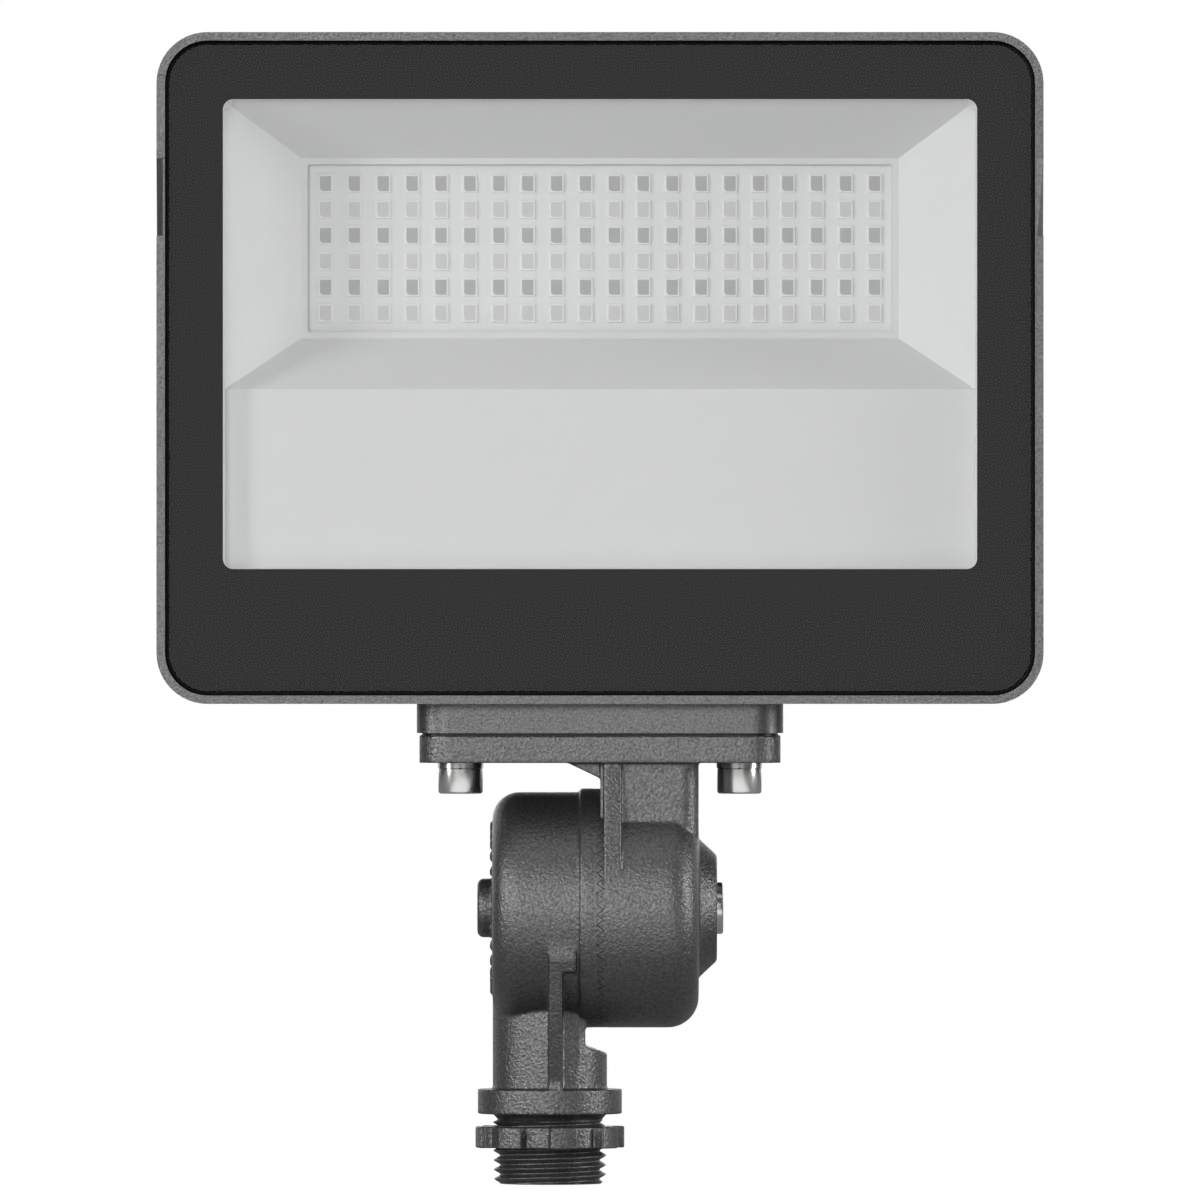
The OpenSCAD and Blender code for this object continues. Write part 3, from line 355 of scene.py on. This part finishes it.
def plain_mesh(name, bm):
    """The worked mesh as a plain one, without the shading that it took from the CAD node."""
    mesh = bpy.data.meshes.new(name)
    bm.to_mesh(mesh)
    bm.free()
    for extra in ("custom_normal", "sharp_edge", "sharp_face"):
        if extra in mesh.attributes:
            mesh.attributes.remove(mesh.attributes[extra])
    return mesh


def smooth_but(mesh, degrees):
    """Smooth shading, except over edges sharper than that."""
    mesh.shade_smooth()
    mesh.set_sharp_from_angle(angle=math.radians(degrees))
    return mesh


def run_out(bm, outline, x0, x1):
    """Adds the wedge, a Y-Z outline from x0 to x1, in which a rib dies away into its barrel."""
    n = len(outline)
    new = [bm.verts.new((x * mm, y * mm, z * mm)) for x in (x0, x1) for y, z in outline]
    bm.faces.new(new[:n])
    bm.faces.new(new[:n - 1:-1])
    for i in range(n):
        bm.faces.new((new[i], new[i + n], new[(i + 1) % n + n], new[(i + 1) % n]))


def from_tilt_axis(v):
    """A corner's distance from the tilt axis, in mm."""
    return math.hypot(v.co.y, v.co.z - pivot_z * mm) / mm


def cast_round(bm, name, back_x):
    """A die casting's soft edges, by a fine remesh and light smoothing; its teeth are cut flat first."""
    for v in bm.verts:
        if from_tilt_axis(v) < barrel_r + 0.1 and (v.co.x - back_x) * (split_x * mm - back_x) > 0:
            v.co.x = back_x
    mesh = plain_mesh(name, bm)
    voxel = 0.27 * mm
    mesh = with_modifiers(
        mesh,
        ("REMESH", {"mode": "VOXEL", "voxel_size": voxel, "adaptivity": 0.0}),
        ("SMOOTH", {"factor": 0.5, "iterations": 3}),
    )
    triangle_limit = 190000
    kept_share = triangle_limit / max(2 * len(mesh.polygons), 1)
    if kept_share < 1.0:
        mesh = with_modifiers(mesh, ("DECIMATE", {"ratio": kept_share}))
    return smooth_but(mesh, 60)


# The threaded end becomes a core, the rib's head leans back and the step's edge is broken
bm = merged("knuckle_lower")
for v in bm.verts:
    r = math.hypot(v.co.x, v.co.y) / mm
    if v.co.z < (collar_z - 0.02) * mm and r > core_r + 0.3:
        v.co.x *= core_r / r
        v.co.y *= core_r / r
    on_rib_head = rib_head_left - 0.2 < v.co.x / mm < rib_head_right + 0.2 and v.co.y < rib_front_y * mm
    if on_rib_head and rib_head_low < v.co.z / mm < rib_head_high:
        v.co.y += rib_head_back * mm
    if abs(v.co.x / mm - step_x) < 0.02 and from_tilt_axis(v) > barrel_r - 0.05:
        v.co.x += step_broken * mm
run_out(bm, lower_run_out, rib_head_left, rib_head_right)
lower_mesh = cast_round(bm, "lower_casting", (split_x - ring_back) * mm)
piece("lower_casting", lower_mesh, cast_grey, "stem", "powder_coat", "knuckle_lower")

# Tooth rings: seventy-two teeth for steps of five degrees, cast on the end faces of both barrels.
# Their flanks aim at the tilt axis, so that the two rings mesh along their whole depth.
teeth = 72
tooth_step = 5.0
tooth_in_r, tooth_in_rise = 19.3, 0.548
tooth_out_r, tooth_out_rise = 22.88, 0.649
tooth_base = -1.85
tooth_gap = 0.18


def new_tree(name, *inputs):
    """An empty geometry tree that takes the piece to repeat, its material and these named sizes."""
    tree = bpy.data.node_groups.new(name, "GeometryNodeTree")
    tree.interface.new_socket("Geometry", in_out="OUTPUT", socket_type="NodeSocketGeometry")
    for label, kind in (("Piece", "Geometry"), ("Finish", "Material"), *inputs):
        tree.interface.new_socket(label, in_out="INPUT", socket_type="NodeSocket" + kind)
    return tree, tree.nodes.new("NodeGroupInput"), tree.nodes.new("NodeGroupOutput")


def put(tree, kind, *values, **settings):
    """A node with its settings and its inputs in order, each a number, a link or None; gives its output."""
    node = tree.nodes.new(kind)
    for key, value in settings.items():
        setattr(node, key, value)
    for socket, value in zip([i for i in node.inputs if i.enabled], values):
        if isinstance(value, bpy.types.NodeSocket):
            tree.links.new(value, socket)
        elif value is not None:
            socket.default_value = value
    return next(o for o in node.outputs if o.enabled)


def end_tree(tree, entry, leave, copies):
    """Makes the copies real, joins the seams between them and gives them their finish."""
    real = put(tree, "GeometryNodeRealizeInstances", copies)
    joined = put(tree, "GeometryNodeMergeByDistance", real, True, 2e-6)
    done = put(tree, "GeometryNodeSetMaterial", joined, True, entry.outputs["Finish"])
    tree.links.new(done, leave.inputs[0])


ring_tree, entry, leave = new_tree(
    "ring_of_copies", ("Count", "Int"), ("Step", "Float"), ("Turn", "Float"), ("Axis point", "Vector"),
)
size = entry.outputs
spots = put(ring_tree, "GeometryNodeMeshLine", size["Count"], size["Axis point"], (0.0, 0.0, 0.0))
index = put(ring_tree, "GeometryNodeInputIndex")
angle = put(ring_tree, "ShaderNodeMath", index, size["Step"], size["Turn"], operation="MULTIPLY_ADD")
turned = put(ring_tree, "ShaderNodeCombineXYZ", angle)
copies = put(ring_tree, "GeometryNodeInstanceOnPoints", spots, None, size["Piece"], None, None, turned)
end_tree(ring_tree, entry, leave, copies)


def repeated(tree, mesh, mat, **sizes):
    """The piece repeated by that tree, as a plain mesh; sizes are its inputs' names, with _ for a space."""
    obj = bpy.data.objects.new("work", mesh)
    scene.collection.objects.link(obj)
    modifier = obj.modifiers.new("copies", "NODES")
    modifier.node_group = tree
    wanted = {"Finish": mat, **{k.replace("_", " "): v for k, v in sizes.items()}}
    for item in tree.interface.items_tree:
        if item.in_out == "INPUT" and item.name in wanted:
            modifier[item.identifier] = wanted[item.name]
    done = finished_mesh(obj)
    bm = bmesh.new()
    bm.from_mesh(done)
    bmesh.ops.recalc_face_normals(bm, faces=bm.faces)
    bm.to_mesh(done)
    bm.free()
    return done


def tooth_ring(name, facing, turn, gap):
    """One tooth from valley to valley, about an axis through its origin, then the whole ring of them."""
    corners = []
    for degrees, side in ((-tooth_step / 2, -1), (0.0, 1), (tooth_step / 2, -1)):
        a = math.radians(degrees)
        outline = (
            (tooth_in_r, tooth_base), (tooth_out_r, tooth_base),
            (tooth_out_r, side * tooth_out_rise), (tooth_in_r, side * tooth_in_rise),
        )
        for r, h in outline:
            corners.append(((facing * h + gap) * mm, r * math.cos(a) * mm, r * math.sin(a) * mm))
    sides = [(k + i, k + 4 + i, k + 4 + (i + 1) % 4, k + (i + 1) % 4) for k in (0, 4) for i in range(4)]
    tooth = bpy.data.meshes.new(name)
    tooth.from_pydata(corners, [], sides)
    return repeated(
        ring_tree, tooth, cast_grey, Count=teeth, Step=math.radians(tooth_step), Turn=math.radians(turn),
        Axis_point=(split_x * mm, 0.0, pivot_z * mm),
    )


piece("lower_teeth", tooth_ring("lower_teeth", 1, 0.0, 0.0), cast_grey, "stem", "powder_coat")

# Conduit thread, half inch at 14 turns to the inch, right-handed and slightly tapered. It is cut
# on the casting's hollow end and powder coated with it, so the crests are a little rounded.
pitch, thread_r, thread_d = 1.814, 10.67, 1.14
root_z, taper, lead_r = 0.9, 0.017, 9.75
flat_share, rounded = 0.1, 0.25
neck_z, neck_r, neck_blend = 11.9, 10.05, 0.5
flare_z, flare_slope = 12.4, 0.9
thread_top, bore_r = 13.6, 7.0
around, levels = 128, 150


def thread_radius(turn, z):
    """The outside at that share of a turn and that height, from the lead-in below to the neck above."""
    u = ((z - root_z) / pitch - turn) % 1.0
    v = min(max((abs(u - 0.5) * 2 - flat_share) / (1 - 2 * flat_share), 0.0), 1.0)
    r = thread_r + taper * z - thread_d * (3 * v * v - 2 * v ** 3) * rounded - thread_d * v * (1 - rounded)
    r = min(r, lead_r + z)
    if z > neck_z:
        neck = neck_r + max(z - flare_z, 0.0) * flare_slope
        r += (neck - r) * min((z - neck_z) / neck_blend, 1.0)
    return r


points, faces = [], []
heights = [thread_top * j / levels for j in range(levels + 1)]
for i in range(around):
    a = 2 * math.pi * i / around
    section = [(thread_radius(i / around, z), z) for z in heights] + [(bore_r, thread_top), (bore_r, 0.0)]
    points += [(r * math.cos(a) * mm, r * math.sin(a) * mm, z * mm) for r, z in section]
ring = len(section)
for i in range(around):
    a, b = i * ring, (i + 1) % around * ring
    for j in range(ring):
        k = (j + 1) % ring
        faces.append((a + j, b + j, b + k, a + k))
thread_mesh = bpy.data.meshes.new("conduit_thread")
thread_mesh.from_pydata(points, [], faces)
piece("conduit_thread", smooth_but(thread_mesh, 50), cast_grey, "stem", "powder_coat")

# Locknut: a flat die-cast ring with eight square lobes, powder coated as the knuckle is.
# Screwed up the conduit thread, it clamps a box wall or cover against the collar above it.


def edges_broken(mesh, width, segments=2):
    """The mesh with its sharp edges rounded by that width, and flat faces that stay flat in the shading."""
    mesh = with_modifiers(
        mesh,
        ("BEVEL", {
            "width": width * mm, "segments": segments, "limit_method": "ANGLE",
            "angle_limit": math.radians(35.0), "use_clamp_overlap": True, "miter_outer": "MITER_ARC",
        }),
    )
    mesh.shade_smooth()
    by_area = {"mode": "FACE_AREA", "weight": 100, "keep_sharp": False}
    return with_modifiers(mesh, ("WEIGHTED_NORMAL", by_area))


def flats_joined(bm):
    """The mesh with the triangles of each flat face joined into one face."""
    bmesh.ops.dissolve_limit(bm, angle_limit=math.radians(0.4), verts=bm.verts, edges=bm.edges)
    return bm


locknut_ring = edges_broken(plain_mesh("locknut", flats_joined(merged("locknut"))), 0.3, 3)
piece("locknut_ring", locknut_ring, cast_grey, "locknut", "powder_coat", "locknut")

# Sealing ring: moulded black silicone, in its groove between the two knuckle halves. It keeps
# water out of the hollow that the supply leads run through.
rubber, nt, p = surface("black_silicone", (0.006, 0.006, 0.006), 0.7, specular=0.1)
place = nt.nodes.new("ShaderNodeTexCoord").outputs["Object"]
dull = noise_at(nt, place, 900.0)
nt.links.new(spread(nt, dull, 0.6, 0.85), p.inputs["Roughness"])
nt.links.new(two_tone(nt, dull, (0.003, 0.003, 0.003), (0.009, 0.009, 0.009)), p.inputs["Base Color"])


def finish_node(node, mat):
    """Gives a CAD node that is shown as it is its real material."""
    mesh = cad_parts[node].data
    mesh.materials.clear()
    mesh.materials.append(mat)


finish_node("knuckle_o_ring", rubber)

# Upper knuckle casting: flange plate, arm with its front rib and web, and the toothed barrel with
# the boss for the tilt bolt. Die-cast aluminium, powder coated with the lower half.
upper_rib_left, upper_rib_right = 10.3, 13.7
upper_rib_top, upper_rib_back = 82.0, -17.0
upper_rib_turned = 0.4
upper_run_out = [
    (-22.3, 60.8), (-22.4, 59.8), (-22.48, 58.8), (-22.55, 57.8), (-22.63, 56.8), (-22.7, 55.8),
    (-22.6, 54.5), (-18.0, 54.5), (-18.0, 61.0),
]
bm = merged("knuckle_upper")
run_out(bm, upper_run_out, upper_rib_left, upper_rib_right)
for v in bm.verts:
    on_right = abs(v.co.x / mm - upper_rib_right) < 0.02 and v.co.z < upper_rib_top * mm
    if on_right and v.co.y < upper_rib_back * mm and from_tilt_axis(v) > barrel_r + 0.06:
        v.co.y += upper_rib_turned * mm
upper_mesh = cast_round(bm, "upper_casting", (split_x + ring_back) * mm)
piece("upper_casting", upper_mesh, cast_grey, "head", "powder_coat", "knuckle_upper")
upper_teeth = tooth_ring("upper_teeth", -1, tooth_step / 2, tooth_gap)
piece("upper_teeth", upper_teeth, cast_grey, "head", "powder_coat")

# Tilt bolt and its washer: bright stainless steel, turned and left bare. The bolt pulls the two
# tooth rings together through the right boss.
bolt_tip_x = -10.0
steel, nt, p = surface("bright_steel", (0.65, 0.65, 0.64), 0.24, metallic=1.0)
place = nt.nodes.new("ShaderNodeTexCoord").outputs["Object"]
stretch = nt.nodes.new("ShaderNodeMapping")
stretch.inputs["Scale"].default_value = (1.0, 1.0, 14.0)
nt.links.new(place, stretch.inputs["Vector"])
lines = noise_at(nt, stretch.outputs[0], 700.0)
nt.links.new(spread(nt, lines, 0.18, 0.3), p.inputs["Roughness"])
nt.links.new(two_tone(nt, lines, (0.58, 0.58, 0.57), (0.72, 0.72, 0.71)), p.inputs["Base Color"])
bumped(nt, p, lines, 0.00001, 0.4)


def closed_rings(name, points, n):
    """A closed mesh of rings of n corners each, joined by walls, with a face on the first and on the last."""
    last = len(points) - n
    sides = [(k + i, k + (i + 1) % n, k + n + (i + 1) % n, k + n + i)
             for k in range(0, last, n) for i in range(n)]
    mesh = bpy.data.meshes.new(name)
    mesh.from_pydata(points, [], sides + [tuple(range(last, last + n)), tuple(range(n - 1, -1, -1))])
    return mesh


def socket_screw(name, length, r, head_r, head_h, hex_r, hex_d):
    """A socket head screw along Z, its tip at the origin: rings of corners from the tip into the hexagon."""
    corners = 48
    top = length + head_h
    rings = [
        (0.0, r - 0.5, 0), (0.5, r, 0), (length, r, 0),
        (length, head_r - 0.2, 0), (length + 0.2, head_r, 0),
        (top - 0.45, head_r, 0), (top - 0.18, head_r - 0.12, 0), (top, head_r - 0.42, 0),
        (top, hex_r + 0.15, 0), (top - 0.2, hex_r, 1), (top - hex_d, hex_r, 1), (top - hex_d - 0.4, 0.5, 0),
    ]
    points = []
    for z, ring_r, hexagon in rings:
        for i in range(corners):
            a = 2 * math.pi * i / corners
            k = ring_r
            if hexagon:
                k = ring_r * math.cos(math.pi / 6) / math.cos(a % (math.pi / 3) - math.pi / 6)
            points.append((k * math.cos(a) * mm, k * math.sin(a) * mm, z * mm))
    return smooth_but(closed_rings(name, points, corners), 32)


tilt_bolt = socket_screw(
    "socket_tilt_bolt", length=37.2, r=3.0, head_r=5.0, head_h=6.0, hex_r=2.89, hex_d=3.0,
)
bolt_place = Matrix.Translation((bolt_tip_x * mm, 0.0, pivot_z * mm))
tilt_bolt.transform(bolt_place @ Matrix.Rotation(math.pi / 2, 4, "Y"))
piece("socket_tilt_bolt", tilt_bolt, steel, "tilt_bolt", "bright_steel", "tilt_bolt")
finish_node("tilt_washer", steel)

# Flange screws, two M5 socket heads of bright steel with split spring washers, up through the
# plate and its dark grey gasket into the pad of the housing.
screw_tip_z = 93.6
screws_apart = 53.4
rows_tree, entry, leave = new_tree(
    "rows_of_copies", ("Columns", "Int"), ("Rows", "Int"), ("Pitch X", "Float"), ("Pitch Z", "Float"),
    ("Centre X", "Float"), ("Centre Z", "Float"),
)
size = entry.outputs
total = put(rows_tree, "ShaderNodeMath", size["Columns"], size["Rows"], operation="MULTIPLY")
index = put(rows_tree, "GeometryNodeInputIndex")
column = put(rows_tree, "ShaderNodeMath", index, size["Columns"], operation="FLOORED_MODULO")
share = put(rows_tree, "ShaderNodeMath", index, size["Columns"], operation="DIVIDE")
row = put(rows_tree, "ShaderNodeMath", share, operation="FLOOR")


def centred(number, count, pitch, centre):
    """The place of that column or row, with all of them centred."""
    last = put(rows_tree, "ShaderNodeMath", count, 1.0, operation="SUBTRACT")
    offset = put(rows_tree, "ShaderNodeMath", last, -0.5, number, operation="MULTIPLY_ADD")
    return put(rows_tree, "ShaderNodeMath", offset, pitch, centre, operation="MULTIPLY_ADD")


x_place = centred(column, size["Columns"], size["Pitch X"], size["Centre X"])
z_place = centred(row, size["Rows"], size["Pitch Z"], size["Centre Z"])
line = put(rows_tree, "GeometryNodeMeshLine", total, None, (0.0, 0.0, 0.0))
spots = put(rows_tree, "ShaderNodeCombineXYZ", x_place, 0.0, z_place)
placed = put(rows_tree, "GeometryNodeSetPosition", line, True, spots)
copies = put(rows_tree, "GeometryNodeInstanceOnPoints", placed, None, size["Piece"])
end_tree(rows_tree, entry, leave, copies)


def in_rows(mesh, mat, columns, pitch_x, rows=1, pitch_z=0.0, centre_z=0.0):
    """Copies in columns and rows, centred on the knuckle's split line; pitches and height in mm."""
    return repeated(
        rows_tree, mesh, mat, Columns=columns, Rows=rows, Pitch_X=pitch_x * mm, Pitch_Z=pitch_z * mm,
        Centre_X=split_x * mm, Centre_Z=centre_z * mm,
    )


flange_screw = socket_screw(
    "flange_socket_screws", length=14.0, r=2.5, head_r=4.25, head_h=4.9, hex_r=2.31, hex_d=2.5,
)
screw_place = Matrix.Translation((0.0, 0.0, screw_tip_z * mm))
flange_screw.transform(screw_place @ Matrix.Rotation(math.pi, 4, "X"))
flange_pair = in_rows(flange_screw, steel, 2, screws_apart)
piece("flange_socket_screws", flange_pair, steel, "head", "bright_steel", "flange_screws")
finish_node("flange_washers", steel)
grey_gasket = powder_coat("grey_gasket", (0.02, 0.02, 0.02), (0.035, 0.035, 0.035), 0.0005, 0.00003)
finish_node("flange_gasket", grey_gasket)

# Housing: one die casting, a shallow box with the pad below and the driver bay behind, in a finer
# powder coat than the knuckle. A rubber grommet lines the wire hole of its pad.
rim_half_w, rim_draft = 84.5, 1.2
notch_low_z, notch_high_z = 181.2, 205.0
notch_floor_y = -21.4
notch_deeper, ramp_shorter = 3.0, 9.0
head_grey = powder_coat("head_powder_coat", (0.085, 0.085, 0.085), (0.165, 0.165, 0.167), 0.0004, 0.00006)


def one_solid(name, *nodes):
    """These CAD nodes of one casting, joined into one skin without the seams between them."""
    parts = []
    for node in nodes:
        parts.append(bpy.data.objects.new("work_" + node, plain_mesh(node, merged(node))))
        scene.collection.objects.link(parts[-1])
    first, *others = parts
    for other in others:
        join = first.modifiers.new("join", "BOOLEAN")
        join.operation = "UNION"
        join.solver = "EXACT"
        join.object = other
    done = finished_mesh(first)
    for other in others:
        discard(other)
    bm = bmesh.new()
    bm.from_mesh(done)
    bmesh.ops.remove_doubles(bm, verts=bm.verts, dist=1e-6)
    flats_joined(bm)
    bm.to_mesh(done)
    bm.free()
    done.name = name
    return done


# The notch in each side of the rim is cut deeper, and the ramp at its upper end is shorter
shell = one_solid("housing_casting", "housing", "driver_bay", "head_pad")
for v in shell.vertices:
    aside, y, z = abs(v.co.x / mm - split_x), v.co.y / mm, v.co.z / mm
    if aside > rim_half_w - 0.1 and abs(z - notch_low_z) < 0.1 and abs(y - notch_floor_y) < 0.1:
        v.co.y += notch_deeper * mm
    if aside > rim_half_w - rim_draft - 0.1 and abs(z - notch_high_z) < 0.1 and y < 0.1 - rim_front:
        v.co.z -= ramp_shorter * mm
shell = edges_broken(shell, 0.35)
piece("housing_casting", shell, head_grey, "head", "powder_coat", "housing", "driver_bay", "head_pad")
finish_node("wire_grommet", rubber)

# Cooling fins: twenty-two drafted ribs with sloped tops, cast on the back of the housing above
# the driver bay and powder coated with it.
fin_count, fin_pitch, fin_w = 22, 7.0, 2.0
fin_tip_y, fin_tip_share = 16.5, 0.8
fin_outline = [(2.8, 148.9), (fin_tip_y, 146.2), (fin_tip_y, 203.0), (6.0, 213.0), (2.8, 213.0)]


def prism(outline, x0, x1):
    """A Y-Z outline pushed out along X."""
    n = len(outline)
    ends = [tuple(range(n)), tuple(range(2 * n - 1, n - 1, -1))]
    sides = [(i, i + n, (i + 1) % n + n, (i + 1) % n) for i in range(n)]
    mesh = bpy.data.meshes.new("prism")
    mesh.from_pydata([(x * mm, y * mm, z * mm) for x in (x0, x1) for y, z in outline], [], ends + sides)
    return mesh


fin = prism(fin_outline, -fin_w / 2, fin_w / 2)
for v in fin.vertices:
    if v.co.y / mm > fin_tip_y - 1.0:
        v.co.x *= fin_tip_share
fins = in_rows(edges_broken(fin, 0.35), head_grey, fin_count, fin_pitch)
piece("cooling_fins", fins, head_grey, "head", "powder_coat", "cooling_fins")

# Inside the housing: thermal sheet, emitter board with its emitters, and the leads.
# The board is aluminium under a white solder mask.


def mottled(name, dark, light, roughness, scale, relief=0.0, metallic=0.0):
    """A plain finish with the slight mottling, sheen and relief of the real surface."""
    mat, nt, p = surface(name, light, roughness, metallic)
    place = nt.nodes.new("ShaderNodeTexCoord").outputs["Object"]
    spots = noise_at(nt, place, scale)
    nt.links.new(two_tone(nt, spots, dark, light), p.inputs["Base Color"])
    nt.links.new(spread(nt, spots, roughness + 0.08, roughness - 0.08), p.inputs["Roughness"])
    if relief:
        bumped(nt, p, spots, relief)
    return mat


finish_node("thermal_pad", mottled("grey_thermal_sheet", (0.3, 0.33, 0.37), (0.38, 0.41, 0.45), 0.7, 1500.0))
finish_node("led_board", mottled("white_solder_mask", (0.66, 0.66, 0.66), (0.68, 0.68, 0.68), 0.5, 400.0))

# Emitters: twenty columns and six rows of white packages 2.8 by 3.5 mm, each filled with silicone and
# phosphor that bulges a little. The rows alternate between two colours of light; one corner is cut as a mark.
funnel_z = 179.1
columns, rows = 20, 6
pitch_x, pitch_z = 105.1 / 19, 24.8 / 5
package_w, package_h = 2.8, 3.5
package_rings = (
    (-2.8, 0.0, 0.06), (-3.08, 0.0, 0.06), (-3.15, 0.07, 0.06), (-3.15, 0.3, 0.45), (-2.95, 0.38, 0.4),
)
fill_rings = ((-2.96, 0.34, 0.42), (-3.1, 0.315, 0.44), (-3.12, 0.45, 0.36), (-3.13, 0.9, 0.2))
white_package = mottled("white_package", (0.69, 0.69, 0.69), (0.72, 0.72, 0.72), 0.45, 2500.0)
cool_phosphor = mottled("cool_phosphor", (0.34, 0.34, 0.336), (0.36, 0.36, 0.356), 0.5, 4000.0, 0.00001)
warm_phosphor = mottled("warm_phosphor", (0.51, 0.51, 0.504), (0.54, 0.54, 0.534), 0.5, 4000.0, 0.00001)


def emitter_part(name, rings):
    """A package or its fill, from rings that each have a depth Y, an inset from its edge and a cut corner."""
    points = []
    for y, inset, cut in rings:
        w, h = package_w / 2 - inset, package_h / 2 - inset
        for x, z in ((-w + cut, -h), (w, -h), (w, h), (-w, h), (-w, -h + cut)):
            points.append((x * mm, y * mm, z * mm))
    return closed_rings(name, points, 5)


package = emitter_part("led_frames", package_rings)
packages = in_rows(package, white_package, columns, pitch_x, rows, pitch_z, funnel_z)
piece("led_packages", packages, white_package, "head", "emitter_frame", "led_frames")
for node, mat, shift in (("phosphor_cool", cool_phosphor, 0.5), ("phosphor_warm", warm_phosphor, -0.5)):
    fill = emitter_part(node, fill_rings)
    fills = in_rows(fill, mat, columns, pitch_x, rows // 2, 2 * pitch_z, funnel_z + shift * pitch_z)
    piece(node + "_fills", fills, mat, "head", node, node)
finish_node("led_leads", mottled("red_insulation", (0.4, 0.012, 0.012), (0.5, 0.02, 0.02), 0.4, 500.0))
finish_node("board_screws", steel)

# Driver: a green board on standoffs in its black insulating tray, with its wound and moulded parts.
# The colour selector is in the same bay, behind its rubber plug.
black_sheet = mottled("black_insulating_sheet", (0.02, 0.02, 0.022), (0.035, 0.035, 0.038), 0.5, 800.0)
finish_node("driver_insulator", black_sheet)
finish_node("driver_board", mottled("green_board", (0.012, 0.09, 0.035), (0.02, 0.13, 0.05), 0.4, 600.0))
finish_node("transformer", mottled("yellow_tape", (0.5, 0.34, 0.05), (0.6, 0.42, 0.08), 0.35, 300.0))
finish_node("film_capacitor", mottled("yellow_film_box", (0.5, 0.36, 0.08), (0.56, 0.42, 0.11), 0.45, 900.0))
dark_sleeve = mottled("dark_sleeve", (0.01, 0.012, 0.03), (0.02, 0.022, 0.05), 0.3, 300.0)
finish_node("electrolytic_capacitors", dark_sleeve)
black_moulding = mottled("black_moulding", (0.012, 0.012, 0.012), (0.024, 0.024, 0.024), 0.45, 1200.0)
for node in ("rectifier", "fuse", "selector_switch"):
    finish_node(node, black_moulding)
copper = mottled("enamelled_copper", (0.38, 0.12, 0.03), (0.5, 0.18, 0.05), 0.25, 900.0, metallic=0.6)
finish_node("choke", copper)
finish_node("input_terminal", mottled("green_terminal", (0.02, 0.11, 0.045), (0.03, 0.15, 0.06), 0.45, 700.0))
white_moulding = mottled("white_moulding", (0.7, 0.7, 0.68), (0.78, 0.78, 0.76), 0.4, 700.0)
for node in ("output_terminal", "selector_slide"):
    finish_node(node, white_moulding)
for node in ("driver_screws", "ground_screw", "reflector_screws"):
    finish_node(node, steel)
finish_node("selector_plug", rubber)

# Reflector: a pressed sheet with a satin white finish, a shallow tray with a sloping funnel round
# the emitters. It is screwed down over the emitter board.
tray_z, tray_floor_y = 162.5, -15.65
floor_half_w, floor_half_h = 70.65, 43.6
floor_wider = 0.8
satin_white = mottled("satin_white", (0.6, 0.6, 0.6), (0.615, 0.615, 0.615), 0.5, 250.0)
bm = flats_joined(merged("reflector"))
for v in bm.verts:
    across, up = v.co.x / mm - split_x, v.co.z / mm - tray_z
    if abs(v.co.y / mm - tray_floor_y) < 0.03:
        if abs(abs(across) - floor_half_w) < 0.35:
            v.co.x += math.copysign(floor_wider * mm, across)
        if abs(abs(up) - floor_half_h) < 0.4:
            v.co.z += math.copysign(floor_wider * mm, up)
sheet = edges_broken(plain_mesh("pressed_reflector", bm), 0.3, 3)
sheet.attributes.remove(sheet.attributes["custom_normal"])
sheet.shade_flat()
piece("pressed_reflector", sheet, satin_white, "head", "white_reflector", "reflector")

# Seal, printed border and glass. The print is fired black enamel on the back of a flat
# toughened glass, which lies in the seal just below the rim.
glass_z = 156.0
outside_x, outside_z = 74.0, 54.0
pane_trim = 0.12


def front_moved(bm, back):
    """The mesh with its front face moved back by so many mm, or forward if that is negative."""
    front = min(v.co.y for v in bm.verts)
    for v in bm.verts:
        if v.co.y < front + 1e-5:
            v.co.y += back * mm
    return bm


def trimmed(bm):
    """The pane's outer edge, past the window in its print, cut back a little for the dark gap round it."""
    for v in bm.verts:
        across, up = v.co.x / mm - split_x, v.co.z / mm - glass_z
        if abs(across) > outside_x or abs(up) > outside_z:
            v.co.x -= math.copysign(pane_trim * mm, across)
            v.co.z -= math.copysign(pane_trim * mm, up)
    return bm


seal = plain_mesh("glass_seal", front_moved(merged("lens_gasket"), 2.4))
piece("glass_seal", seal, rubber, "head", "black_silicone", "lens_gasket")
print_black = mottled("fired_enamel", (0.002, 0.002, 0.002), (0.003, 0.003, 0.003), 0.4, 600.0)
print_black.node_tree.nodes["Principled BSDF"].inputs["Specular IOR Level"].default_value = 0.0
border = plain_mesh("printed_border", trimmed(front_moved(merged("lens_border"), -0.02)))
piece("printed_border", border, print_black, "head", "border_print", "lens_border")

# Lamp light passes the glass as if it were clear, so that the reflector behind it is lit as in the open
glass_mat, nt, p = surface("toughened_glass", (0.97, 0.985, 0.98), 0.02)
p.inputs["Transmission Weight"].default_value = 1.0
p.inputs["IOR"].default_value = 1.46
path = nt.nodes.new("ShaderNodeLightPath")
clear = nt.nodes.new("ShaderNodeBsdfTransparent")
lamps = math_node(nt, "MAXIMUM", path.outputs["Is Shadow Ray"], path.outputs["Is Diffuse Ray"])
glass_shader = mixed(nt, lamps, p.outputs[0], clear.outputs[0])
nt.links.new(glass_shader, nt.nodes["Material Output"].inputs["Surface"])
pane = smooth_but(plain_mesh("front_glass", trimmed(merged("lens_glass"))), 30)
piece("front_glass", pane, glass_mat, "head", "clear_glass", "lens_glass")
